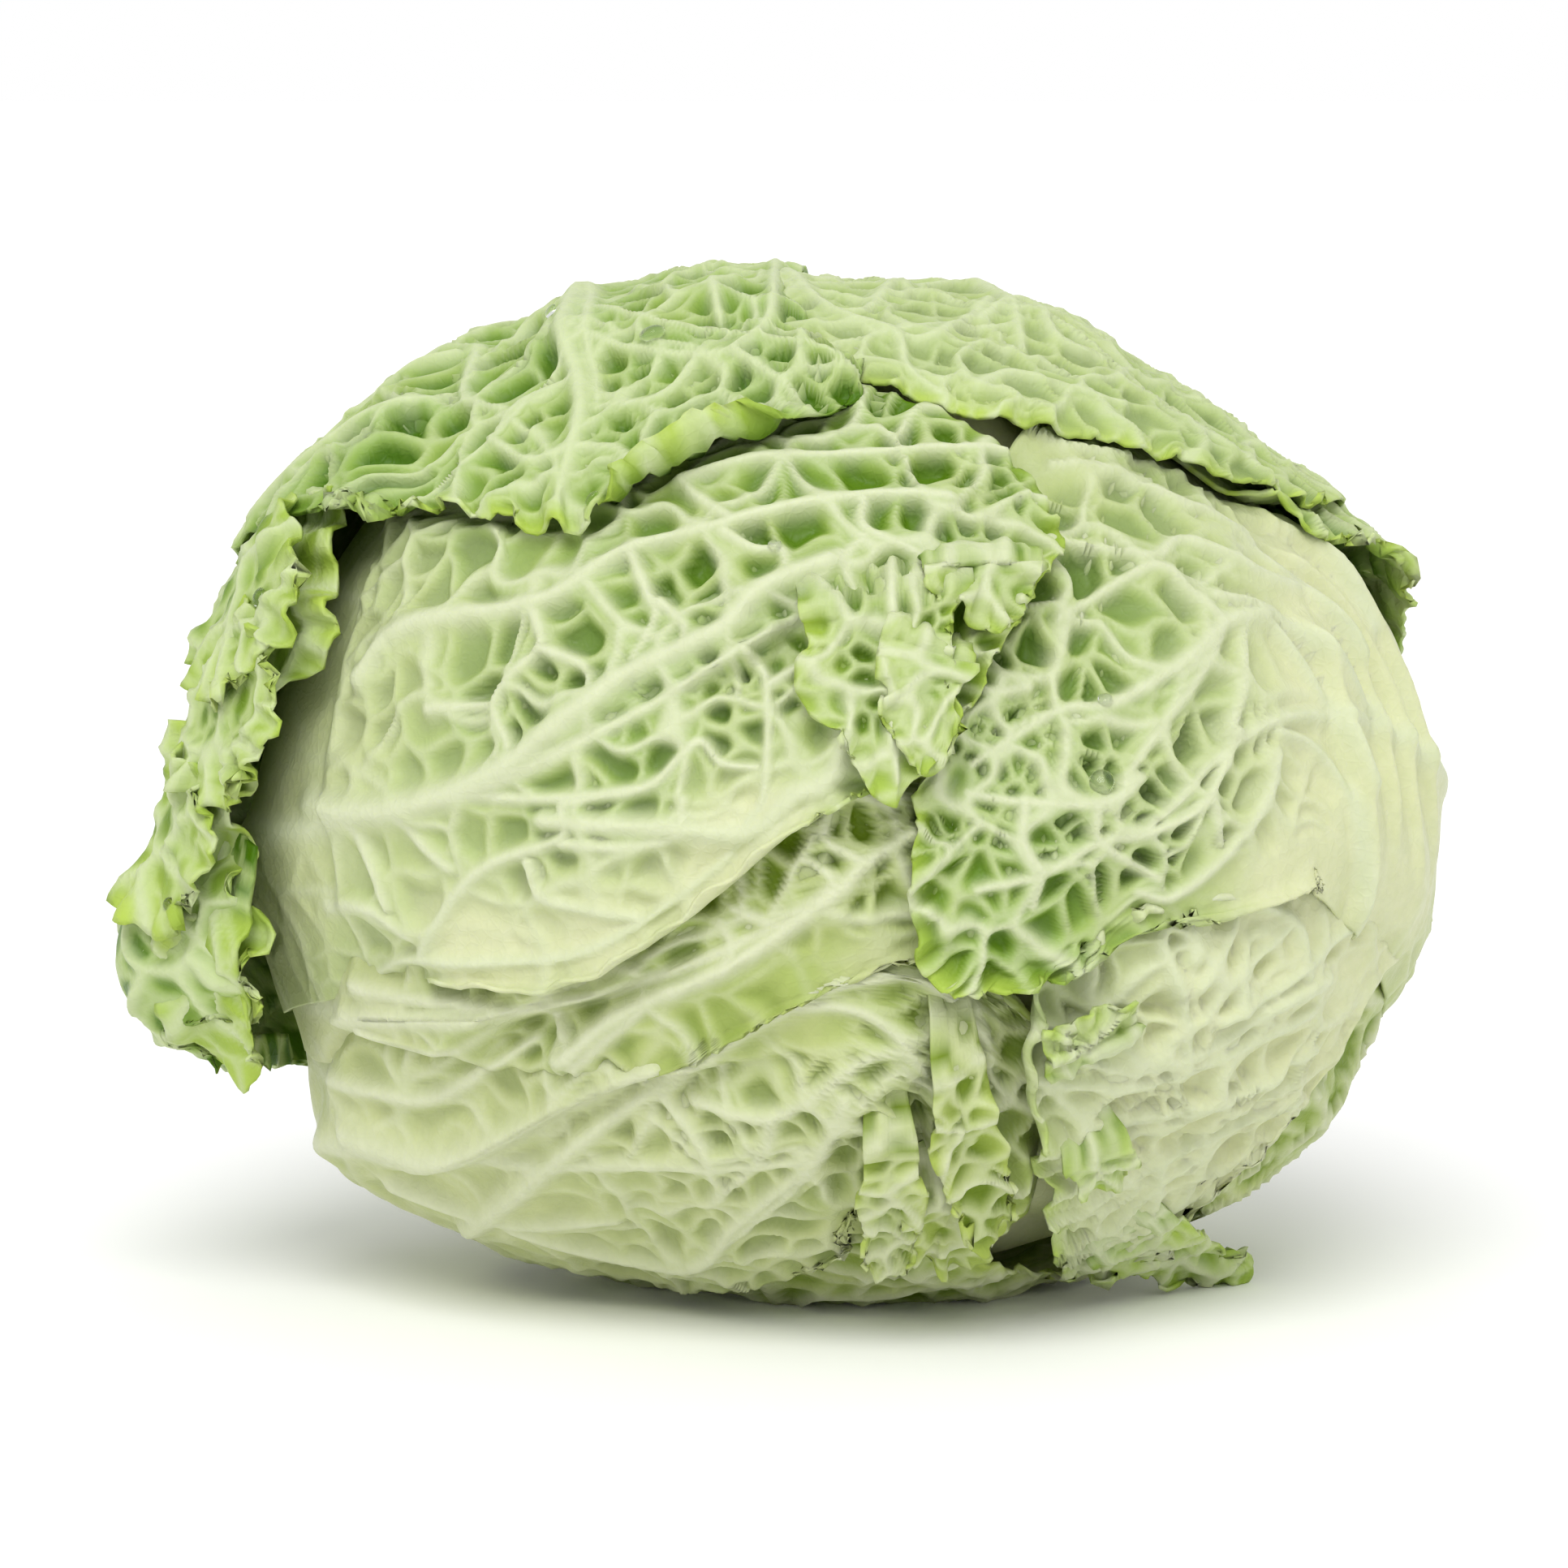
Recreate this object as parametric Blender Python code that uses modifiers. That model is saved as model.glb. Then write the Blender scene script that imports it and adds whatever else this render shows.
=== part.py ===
"""Savoy cabbage head, as picked: a cut stem, the packed inner leaves and the wrapper leaves round them.

The head lies on its side. Its stem points back (+Y), and its apex, where the leaf tips meet, faces -Y.
A direction from the head's centre is a (clock, polar) pair in degrees. Polar is the angle from the front,
and clock is the hour hand as seen from the front: 0 is up, 90 is right and 180 is down.
Every wrapper leaf is one closed shell on a layer of its own, so no two leaves touch.
Lengths here are millimetres, and the meshes are metres.
"""

import math
from dataclasses import dataclass, field

import bmesh
import bpy
import numpy as np
from mathutils import Vector

MM = 0.001

# The head: its centre stands above the floor, and its outside is an ellipsoid with soft lobes and hollows.
HEAD_CENTRE = np.array([9.94, -2.25, 77.1])
SEMI_AXES = np.array([90.0, 80.0, 77.5])
STEM_CLOCK, STEM_POLAR = -50.0, 170.0

# The layers: a leaf's blade, how much radius its layer takes, and how many degrees from the stem it starts.
BLADE_THICKNESS = 1.0
LEAF_ROOM = 2.3
LEAF_BASE_ANGLE = 13.0
LEAF_CELLS = (13, 17)
PATH_SAMPLES = 81

# A leaf moves its neighbours' layers where it covers them. This fades over these degrees past its margin.
COVER_FALL = (1.0, 12.0)
COVER_LENGTH = 9.0
COVER_STEP = 2

INNER_LEAVES_GAP = 1.4
INNER_LEAVES_SEGMENTS = (24, 14)
STEM_RADIUS = 14.5
STEM_PROUD = 3.0
STEM_GAP = 0.5
STEM_BEVEL = 1.2
STEM_SIDES = 28

PALE, MIDDLE, DEEP = (0.66, 0.72, 0.42), (0.52, 0.64, 0.28), (0.38, 0.53, 0.18)
INNER_LEAVES_TINT, STEM_TINT = (0.76, 0.77, 0.48), (0.72, 0.72, 0.52)


def direction(clock, polar):
    """Unit vector for a (clock, polar) direction."""
    clock, polar = math.radians(clock), math.radians(polar)
    return np.array([math.sin(polar) * math.sin(clock), -math.cos(polar), math.sin(polar) * math.cos(clock)])


def unit(vectors):
    return vectors / np.linalg.norm(vectors, axis=-1, keepdims=True)


def smooth_step(low, high, value):
    t = np.clip((value - low) / (high - low), 0.0, 1.0)
    return t * t * (3.0 - 2.0 * t)


@dataclass
class Bump:
    """A soft rise round one direction: its (clock, polar), its height and its spread in degrees."""

    clock: float
    polar: float
    height: float
    spread: float

    def over(self, d):
        angle = np.degrees(np.arccos(np.clip(d @ direction(self.clock, self.polar), -1.0, 1.0)))
        return self.height * np.exp(-((angle / self.spread) ** 2))


@dataclass
class Leaf:
    """A wrapper leaf. Its midrib runs from beside the stem through these (clock, polar) points to the tip.

    left and right are the half widths in degrees at even steps from base to tip, seen from outside, tip up.
    A flare is a place where the leaf stands away from the head.
    """

    name: str
    tint: tuple
    midrib: list
    left: list
    right: list
    room: float = LEAF_ROOM
    flares: list = field(default_factory=list)

    def rise(self, d):
        return sum((flare.over(d) for flare in self.flares), np.zeros(len(d)))


HEAD_LOBES = [
    Bump(-125, 88, 11.0, 27),
    Bump(122, 88, 4.0, 26),
    Bump(45, 85, -8.5, 32),
    Bump(-5, 90, -2.5, 45),
    Bump(178, 96, 3.0, 34),
]

# From the innermost to the outermost. The last OUTER_LEAVES stand proud of the head's own outside.
LEAVES = [
    Leaf(
        "left_under_leaf",
        PALE,
        midrib=[(-105, 115), (-112, 85), (-118, 62), (-128, 40)],
        left=[24, 30, 36, 40, 40, 34],
        right=[24, 30, 36, 40, 40, 34],
    ),
    Leaf(
        "right_under_leaf",
        PALE,
        midrib=[(110, 115), (106, 85), (110, 60), (125, 40)],
        left=[24, 32, 36, 38, 38, 34],
        right=[24, 34, 42, 46, 46, 36],
    ),
    Leaf(
        "bottom_leaf",
        PALE,
        midrib=[(-165, 125), (-168, 95), (-175, 72), (172, 52)],
        left=[26, 36, 44, 48, 46, 36],
        right=[26, 36, 44, 48, 46, 36],
        room=2.8,
    ),
    Leaf(
        "lower_left_leaf",
        PALE,
        midrib=[
            (-122, 115), (-123, 82), (-129, 66), (-140, 52),
            (-157, 40), (178, 35), (164, 41), (157, 51),
        ],
        left=[20, 20, 20, 20, 20, 23, 27, 31, 36, 38],
        right=[20, 24, 24, 22, 20, 22, 30, 28, 26, 24],
    ),
    Leaf(
        "left_middle_leaf",
        PALE,
        midrib=[
            (-106, 120), (-109, 88), (-112, 67), (-116, 49), (-123, 30),
            (-128, 15), (160, 5), (110, 13), (104, 23),
        ],
        left=[22, 24, 26, 26, 26, 26, 26, 26, 26, 28],
        right=[14, 10, 8, 7, 6, 6, 10, 11, 12, 24],
    ),
    Leaf(
        "lower_right_leaf",
        MIDDLE,
        midrib=[(98, 120), (96, 85), (99, 68), (105, 58), (118, 45), (136, 33), (147, 29)],
        left=[18, 14, 12, 10, 9, 8, 9, 22, 66, 50],
        right=[22, 22, 22, 22, 20, 18, 16, 18, 25, 34],
        flares=[Bump(143, 97, 17.0, 14)],
    ),
    Leaf(
        "right_wrapper_leaf",
        MIDDLE,
        midrib=[(95, 110), (85, 75), (75, 52), (85, 32), (110, 20), (150, 15)],
        left=[18, 22, 24, 24, 24, 22, 20, 20, 14, 12],
        right=[20, 30, 40, 46, 50, 50, 48, 45, 42, 38],
    ),
    Leaf(
        "left_wrapper_leaf",
        MIDDLE,
        midrib=[(-95, 110), (-92, 68), (-80, 36), (-45, 24), (10, 30), (34, 42)],
        left=[22, 30, 36, 36, 36, 36, 40, 44, 50, 50],
        right=[18, 18, 18, 18, 17, 17, 22, 22, 30, 30],
    ),
    Leaf(
        "right_outer_leaf",
        DEEP,
        midrib=[(60, 135), (52, 108), (48, 88), (50, 72)],
        left=[22, 26, 26, 26, 26, 26],
        right=[22, 28, 32, 36, 38, 38],
        flares=[Bump(66, 88, 4.0, 10)],
    ),
    Leaf(
        "left_outer_leaf",
        DEEP,
        midrib=[(-100, 135), (-95, 105), (-90, 85), (-82, 58)],
        left=[22, 26, 32, 40, 48, 50, 52, 52, 52, 50],
        right=[22, 30, 34, 36, 38, 38, 38, 38, 38, 38],
        room=4.0,
        flares=[Bump(-80, 88, 5.0, 36), Bump(-104, 84, 12.0, 9)],
    ),
    Leaf(
        "right_crown_leaf",
        DEEP,
        midrib=[(10, 130), (14, 105), (19, 80), (24, 55)],
        left=[22, 28, 34, 38, 42, 44, 46, 50, 54, 50],
        right=[22, 32, 40, 44, 46, 48, 50, 54, 56, 50],
    ),
    Leaf(
        "left_crown_leaf",
        DEEP,
        midrib=[(-35, 130), (-28, 95), (-29, 74), (-32, 58), (-40, 44)],
        left=[22, 26, 26, 26, 24, 22, 22, 27, 42, 28],
        right=[22, 34, 42, 44, 42, 40, 39, 37, 35, 26],
    ),
]
OUTER_LEAVES = 4

STEM_AXIS = direction(STEM_CLOCK, STEM_POLAR)


def head_radius(d):
    """Distance from the head's centre to its outside. The floor cuts it to a flat spot to rest on."""
    radius = 1.0 / np.sqrt(((d / SEMI_AXES) ** 2).sum(-1))
    radius = radius + sum(lobe.over(d) for lobe in HEAD_LOBES)
    floor = HEAD_CENTRE[2] / np.maximum(-d[..., 2], 1e-6)
    return np.minimum(radius, floor)


class LeafPath:
    """A leaf's midrib as even samples, each with its direction, the way ahead and the way to the right."""

    def __init__(self, leaf):
        points = [direction(*point) for point in leaf.midrib]
        outward = unit(points[0] - STEM_AXIS * (points[0] @ STEM_AXIS))
        angle = math.radians(LEAF_BASE_ANGLE)
        base = math.cos(angle) * STEM_AXIS + math.sin(angle) * outward
        self.middle = self.resample(self.spline(np.array([base] + points)))
        ahead = np.gradient(self.middle, axis=0)
        ahead -= self.middle * (ahead * self.middle).sum(-1, keepdims=True)
        self.ahead = unit(ahead)
        self.right = np.cross(self.ahead, self.middle)
        turns = (self.middle[1:] * self.middle[:-1]).sum(-1)
        self.length = np.arccos(np.clip(turns, -1.0, 1.0)).sum()
        self.steps = np.linspace(0.0, 1.0, PATH_SAMPLES)
        self.left_width = self.widths(leaf.left)
        self.right_width = self.widths(leaf.right)

    @staticmethod
    def spline(points):
        """Catmull-Rom curve through the points, brought back to unit length."""
        ends = np.vstack([2 * points[0] - points[1], points, 2 * points[-1] - points[-2]])
        t = np.linspace(0.0, 1.0, 24, endpoint=False)[:, None]
        runs = []
        for a, b, c, d in zip(ends, ends[1:], ends[2:], ends[3:]):
            second, third = 2 * a - 5 * b + 4 * c - d, 3 * b - a - 3 * c + d
            runs.append(0.5 * (2 * b + (c - a) * t + second * t**2 + third * t**3))
        return unit(np.vstack(runs + [points[-1:]]))

    @staticmethod
    def resample(points):
        along = np.concatenate([[0.0], np.cumsum(np.linalg.norm(np.diff(points, axis=0), axis=1))])
        even = np.linspace(0.0, along[-1], PATH_SAMPLES)
        return unit(np.stack([np.interp(even, along, points[:, k]) for k in range(3)], axis=1))

    def widths(self, values):
        """Half widths in radians at every sample, eased between the given ones."""
        values = np.asarray(values, float)
        knots = np.linspace(0.0, 1.0, len(values))
        cell = np.clip(np.searchsorted(knots, self.steps, side="right") - 1, 0, len(values) - 2)
        t = smooth_step(0.0, 1.0, (self.steps - knots[cell]) / (knots[cell + 1] - knots[cell]))
        return np.radians(values[cell] * (1 - t) + values[cell + 1] * t)

    def directions(self, x, y):
        """Directions for points of the leaf's square: x runs from left to right, and y from base to tip.

        The tip half of the square is rounded into an ellipse, and the base stays square.
        """
        rounding = smooth_step(-0.2, 0.4, y)
        across = x * np.sqrt(1.0 - rounding * y**2 / 2.0)
        along = (1.0 + y * np.sqrt(1.0 - rounding * x**2 / 2.0)) / 2.0
        at = along * (PATH_SAMPLES - 1)
        low = np.clip(at.astype(int), 0, PATH_SAMPLES - 2)
        part = (at - low)[:, None]
        middle = unit(self.middle[low] * (1 - part) + self.middle[low + 1] * part)
        right = unit(self.right[low] * (1 - part) + self.right[low + 1] * part)
        right_width = np.interp(along, self.steps, self.right_width)
        left_width = np.interp(along, self.steps, self.left_width)
        angle = (across * np.where(across > 0, right_width, left_width))[:, None]
        return middle * np.cos(angle) + right * np.sin(angle)

    def cover(self, d):
        """1 where this leaf covers direction d, falling smoothly to 0 outside its margin.

        The leaf is taken as a row of ellipses along the midrib, as wide as the leaf and COVER_LENGTH long.
        """
        length = math.radians(COVER_LENGTH)
        last = int((PATH_SAMPLES - 1) * (1.0 - min(0.5, length / self.length)))
        beyond = np.full(len(d), np.inf)
        for k in range(0, last + 1, COVER_STEP):
            rounding = math.sqrt(1.0 - max(0.0, 2.0 * self.steps[k] - 1.0) ** 2)
            out, right = d @ self.middle[k], d @ self.right[k]
            aside = np.arctan2(right, out)
            ahead = np.arctan2(d @ self.ahead[k], np.hypot(out, right))
            width = np.where(aside > 0, self.right_width[k], self.left_width[k]) * rounding
            reach = np.hypot(aside / np.maximum(width, 0.05), ahead / length) + 1e-9
            beyond = np.minimum(beyond, np.hypot(aside, ahead) * (1.0 - 1.0 / reach))
        return 1.0 - smooth_step(*COVER_FALL, np.degrees(beyond))


class Head:
    """The leaves in their layers, and the pieces they are built into."""

    def __init__(self, leaves, collection):
        self.leaves = leaves
        self.collection = collection
        self.paths = [LeafPath(leaf) for leaf in leaves]
        self.first_outer = len(leaves) - OUTER_LEAVES

    def layer_height(self, index, d):
        """Height of the outside of leaf number index over the head's own outside; -1 is the inner leaves.

        A layer lies below every wrapper leaf outside it, and an outer leaf lies above those inside it.
        """
        height = np.zeros(len(d))
        for other, (leaf, path) in enumerate(zip(self.leaves, self.paths)):
            if index < other < self.first_outer:
                height -= leaf.room * path.cover(d)
            elif self.first_outer <= other <= index:
                cover = 1.0 if other == index else path.cover(d)
                height += (leaf.room + leaf.rise(d)) * cover
        if 0 <= index < self.first_outer:
            height += self.leaves[index].rise(d)
        return height

    def add(self, name, mesh, colour):
        """Links a finished mesh as a named object with a material of its own."""
        made = bpy.data.objects.new(name, mesh)
        self.collection.objects.link(made)
        surface = bpy.data.materials.new(name)
        surface.use_nodes = True
        shader = surface.node_tree.nodes["Principled BSDF"]
        shader.inputs["Base Color"].default_value = (*colour, 1.0)
        shader.inputs["Roughness"].default_value = 0.45
        shader.inputs["Metallic"].default_value = 0.0
        mesh.materials.append(surface)
        mesh.shade_smooth()
        return made

    def build_leaf(self, index):
        """One wrapper leaf: a square grid bent over its layer, then given the blade's thickness."""
        leaf = self.leaves[index]
        mesh = bpy.data.meshes.new(leaf.name)
        grid = bmesh.new()
        bmesh.ops.create_grid(grid, x_segments=LEAF_CELLS[0], y_segments=LEAF_CELLS[1], size=1.0)
        grid.to_mesh(mesh)
        grid.free()
        square = coordinates(mesh)
        d = self.paths[index].directions(square[:, 0], square[:, 1])
        place(mesh, d, head_radius(d) + self.layer_height(index, d))
        blade = self.add(leaf.name, mesh, leaf.tint).modifiers.new("blade", "SOLIDIFY")
        blade.thickness = BLADE_THICKNESS * MM
        blade.offset = -1.0

    def build_inner_leaves(self):
        """The packed leaves that the wrappers close over, as one body under the innermost wrapper."""
        mesh = bpy.data.meshes.new("inner_leaves")
        ball = bmesh.new()
        around, down = INNER_LEAVES_SEGMENTS
        bmesh.ops.create_uvsphere(ball, u_segments=around, v_segments=down, radius=1.0)
        ball.to_mesh(mesh)
        ball.free()
        d = unit(coordinates(mesh))
        radius = head_radius(d) + self.layer_height(-1, d)
        place(mesh, d, radius - BLADE_THICKNESS - INNER_LEAVES_GAP)
        self.add("inner_leaves", mesh, INNER_LEAVES_TINT)

    def stem_foot(self):
        """The height along the stem's axis that clears the inner leaves all over the stem's end."""
        aside = unit(np.cross(STEM_AXIS, (0.0, 0.0, 1.0)))
        across = np.cross(STEM_AXIS, aside)
        turns = np.linspace(0.0, 2.0 * math.pi, 24, endpoint=False)[:, None, None]
        reach = np.linspace(0.0, 0.25, 8)[None, :, None]
        d = unit(STEM_AXIS + reach * (np.cos(turns) * aside + np.sin(turns) * across)).reshape(-1, 3)
        return ((head_radius(d) + self.layer_height(-1, d)) * (d @ STEM_AXIS)).max() + STEM_GAP

    def build_stem(self):
        """The cut stem: a stump from just outside the inner leaves to a little past the leaves' bases."""
        foot = self.stem_foot()
        end = head_radius(STEM_AXIS[None, :])[0] + STEM_PROUD
        mesh = bpy.data.meshes.new("stem")
        stump = bmesh.new()
        radius = STEM_RADIUS * MM
        depth = (end - foot) * MM
        bmesh.ops.create_cone(
            stump, cap_ends=True, segments=STEM_SIDES, radius1=radius, radius2=radius, depth=depth
        )
        stump.to_mesh(mesh)
        stump.free()
        made = self.add("stem", mesh, STEM_TINT)
        made.rotation_mode = "QUATERNION"
        made.rotation_quaternion = Vector(STEM_AXIS).to_track_quat("Z", "Y")
        made.location = (HEAD_CENTRE + STEM_AXIS * (foot + end) / 2) * MM
        edge = made.modifiers.new("edge", "BEVEL")
        edge.width = STEM_BEVEL * MM
        edge.segments = 2


def coordinates(mesh):
    values = np.empty(len(mesh.vertices) * 3, np.float32)
    mesh.vertices.foreach_get("co", values)
    return values.reshape(-1, 3).astype(float)


def place(mesh, d, radius):
    """Moves each vertex to its direction and radius from the head's centre, never below the floor."""
    points = HEAD_CENTRE + d * radius[:, None]
    points[:, 2] = np.maximum(points[:, 2], 0.0)
    mesh.vertices.foreach_set("co", (points * MM).astype(np.float32).ravel())
    mesh.update()


def main():
    for old in list(bpy.data.objects):
        bpy.data.objects.remove(old)
    collection = bpy.data.collections.new("savoy_cabbage")
    bpy.context.scene.collection.children.link(collection)
    head = Head(LEAVES, collection)
    head.build_inner_leaves()
    head.build_stem()
    for index in range(len(LEAVES)):
        head.build_leaf(index)


main()
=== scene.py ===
"""Savoy cabbage head: the finished leaves, stem and water drops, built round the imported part.

A direction from the head's centre is a (clock, polar) pair in degrees, as in the part's own source: polar
is the angle from the front (-Y), and clock is the hour hand as seen from the front (0 is up, 90 right, 180
down). Shapes are worked out in millimetres and become metres when a mesh is made.
"""

import logging
import math
from collections.abc import Sequence
from dataclasses import dataclass
from enum import Enum
from typing import NamedTuple

import bmesh
import bpy
import numpy as np
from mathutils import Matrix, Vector


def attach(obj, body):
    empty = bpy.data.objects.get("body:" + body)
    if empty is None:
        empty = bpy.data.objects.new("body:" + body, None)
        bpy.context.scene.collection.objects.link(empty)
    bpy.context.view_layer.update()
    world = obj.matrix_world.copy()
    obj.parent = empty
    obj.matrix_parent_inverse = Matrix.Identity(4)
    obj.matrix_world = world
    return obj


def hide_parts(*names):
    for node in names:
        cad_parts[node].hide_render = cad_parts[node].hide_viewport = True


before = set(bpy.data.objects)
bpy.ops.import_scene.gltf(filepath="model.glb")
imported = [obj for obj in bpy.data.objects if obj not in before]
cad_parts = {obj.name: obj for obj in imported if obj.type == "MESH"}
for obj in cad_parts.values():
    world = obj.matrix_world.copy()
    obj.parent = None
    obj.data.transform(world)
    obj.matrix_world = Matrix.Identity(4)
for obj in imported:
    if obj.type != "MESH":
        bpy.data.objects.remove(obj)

Array = np.ndarray
Point = tuple[float, float]
Colour = tuple[float, float, float]
Material = bpy.types.Material
Piece = bpy.types.Object
Socket = bpy.types.NodeSocket

LOG = logging.getLogger("savoy_cabbage")
MM = 0.001
ROOT_BODY = "root"

# The head, as in the part: its centre, its outside ellipsoid and its mean radius.
HEAD_CENTRE = np.array([9.94, -2.25, 77.1])
SEMI_AXES = np.array([90.0, 80.0, 77.5])
MEAN_RADIUS = 80.0

# The layers, as in the part.
LEAF_ROOM = 2.3
LEAF_BASE_ANGLE = 13.0
PATH_SAMPLES = 81
COVER_FALL = (1.0, 12.0)
COVER_LENGTH = 9.0
COVER_STEP = 2
OUTER_LEAVES = 4
INNER_LEAVES_DEPTH = 2.4

# The fine sheet: the layers are worked out at every COARSE_STEP-th row and column, and the underside has
# every UNDERSIDE_STEP-th. The points lie BACK_SPACING apart until the share of the midrib where the leaf
# can show.
COARSE_STEP = 4
UNDERSIDE_STEP = 2
BACK_SPACING = 2.2
SHOWN_FROM = 0.3
SHEET_THICKNESS = 0.7
BURIED_DEPTH = (-5.5, -1.5)
BURIED_SINK = 2.3

# How far the leaves' outside, their underside and the inner leaves stay above the floor.
LEAF_CLEARANCE = 0.05
UNDERSIDE_CLEARANCE = 0.02
INNER_LEAVES_CLEARANCE = 0.6


class Slot(Enum):
    """The record's material slots."""

    PALE = "pale_leaf"
    MIDDLE = "middle_leaf"
    OUTER = "outer_leaf"
    HEART = "heart_leaf"
    STEM = "stem"


def direction(clock: float, polar: float) -> Array:
    """Unit vector for a (clock, polar) direction in degrees."""
    clock, polar = math.radians(clock), math.radians(polar)
    return np.array([math.sin(polar) * math.sin(clock), -math.cos(polar), math.sin(polar) * math.cos(clock)])


def clock_points(d: Array) -> list[Point]:
    """The (clock, polar) points of unit vectors."""
    clock = np.degrees(np.arctan2(d[:, 0], d[:, 2]))
    return list(zip(clock, np.degrees(np.arccos(np.clip(-d[:, 1], -1.0, 1.0)))))


STEM_AXIS = direction(-50.0, 170.0)


def unit(vectors: Array) -> Array:
    """Vectors brought to length 1 along their last axis."""
    return vectors / np.maximum(np.linalg.norm(vectors, axis=-1, keepdims=True), 1e-12)


def smooth_step(low: float, high: float, value: Array) -> Array:
    """0 below low, 1 above high and 3t^2 - 2t^3 between them."""
    t = np.clip((value - low) / (high - low), 0.0, 1.0)
    return t * t * (3.0 - 2.0 * t)


def bell(distance: Array, width: float | Array, power: float = 2.0) -> Array:
    """exp(-(distance / width)^power): 1 at distance 0, fading outwards."""
    return np.exp(-((distance / width) ** power))


def travelled(points: Array) -> Array:
    """How far along a line of points each one is."""
    return np.concatenate([[0.0], np.cumsum(np.linalg.norm(np.diff(points, axis=0), axis=1))])


def columns_at(at: Array, samples: Array, values: Array) -> Array:
    """Interpolates each of the three columns of values."""
    return np.stack([np.interp(at, samples, values[:, k]) for k in range(3)], axis=-1)


def spline(points: Array, steps: int) -> Array:
    """Catmull-Rom curve through unit vectors, brought back to unit length.

    Args:
        points: the vectors to pass through, (n, 3).
        steps: samples from one point to the next.

    Returns:
        The samples, (steps * (n - 1) + 1, 3).
    """
    ends = np.vstack([2 * points[0] - points[1], points, 2 * points[-1] - points[-2]])
    t = np.linspace(0.0, 1.0, steps, endpoint=False)[:, None]
    runs = []
    for a, b, c, d in zip(ends, ends[1:], ends[2:], ends[3:]):
        second, third = 2 * a - 5 * b + 4 * c - d, 3 * b - a - 3 * c + d
        runs.append(0.5 * (2 * b + (c - a) * t + second * t**2 + third * t**3))
    return unit(np.vstack(runs + [points[-1:]]))


def ripple(s: Array, wavelength: float, seed: int) -> Array:
    """Smooth noise along a line, about -1 to 1: a sum of four sines of wavelengths near the given one."""
    draw = np.random.default_rng(seed)
    total = np.zeros_like(s)
    for _ in range(4):
        length = wavelength * draw.uniform(0.7, 1.45)
        total += np.sin(2 * math.pi * s / length + draw.uniform(0.0, 2 * math.pi))
    return total / 2.2


def swell(q: Array, wavelength: float, seed: int) -> Array:
    """Smooth noise at places q in mm, about -1 to 1: a sum of nine plane waves in drawn directions."""
    draw = np.random.default_rng(seed)
    total = np.zeros(q.shape[:-1])
    for _ in range(9):
        wave = unit(draw.normal(size=3)) * 2 * math.pi / (wavelength * draw.uniform(0.65, 1.5))
        total += np.sin(q @ wave + draw.uniform(0.0, 2 * math.pi))
    return total / 3.4


@dataclass(frozen=True)
class Bump:
    """A soft patch round a (clock, polar) direction, with its height or amount and its spread in degrees."""

    clock: float
    polar: float
    height: float
    spread: float

    def over(self, d: Array) -> Array:
        """The patch's height at each direction, which fades with the angle from its own."""
        angle = np.degrees(np.arccos(np.clip(d @ direction(self.clock, self.polar), -1.0, 1.0)))
        return self.height * bell(angle, self.spread)


def patches(bumps: Sequence[Bump], d: Array) -> Array:
    """The sum of the bumps at each direction."""
    return sum((bump.over(d) for bump in bumps), np.zeros(d.shape[:-1]))


HEAD_LOBES = [
    Bump(-125, 88, 11.0, 27), Bump(122, 88, 4.0, 26), Bump(45, 85, -8.5, 32), Bump(-5, 90, -2.5, 45),
    Bump(178, 96, 3.0, 34),
]


def head_radius(d: Array) -> Array:
    """Distance from the head's centre to its outside. The floor cuts it to a flat spot to rest on."""
    radius = 1.0 / np.sqrt(((d / SEMI_AXES) ** 2).sum(-1)) + patches(HEAD_LOBES, d)
    return np.minimum(radius, HEAD_CENTRE[2] / np.maximum(-d[..., 2], 1e-6))


@dataclass(frozen=True)
class Vein:
    """A raised vein through (clock, polar) points, thinning from its first point to its last.

    width is its half width and height its rise, both in mm at the first point. keep is the share that is
    left at the last.
    """

    points: Sequence[Point]
    width: float = 1.5
    height: float = 1.2
    keep: float = 0.6


@dataclass(frozen=True)
class Tuck:
    """A line where the blade is folded over itself: one side stands proud and the other is drawn in.

    The proud side is on the right of the way from the first point to the last, as seen from outside.
    rise and dip are the heights of the two sides in mm, and reach is how far each fades.
    """

    points: Sequence[Point]
    rise: float
    dip: float
    reach: float


@dataclass(frozen=True)
class Stretch:
    """A stretch of the margin, from start to end of its length (0 is the left base and 1 the right base)."""

    start: float
    end: float

    def over(self, share: Array, ease: float) -> Array:
        """1 along the stretch, easing to 0 at its two ends over the given share of the margin."""
        begin = smooth_step(self.start - ease / 2, self.start + ease / 2, share)
        return begin * (1.0 - smooth_step(self.end - ease / 2, self.end + ease / 2, share))


@dataclass(frozen=True)
class Frill(Stretch):
    """A frilled stretch: a ruffle's length, its swing at the margin and how far in it fades, all in mm."""

    wave: float
    height: float
    reach: float


@dataclass(frozen=True)
class Curl(Stretch):
    """A stretch that rolls outwards: a band reach mm wide turns through turn degrees."""

    reach: float
    turn: float


@dataclass(frozen=True)
class Lift(Stretch):
    """A stretch that stands off by height mm, or dives if that is below 0, fading over reach mm."""

    height: float
    reach: float


@dataclass(frozen=True)
class Reach(Stretch):
    """A stretch that lies more mm further out than the leaf's outline, or further in below 0."""

    more: float


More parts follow.
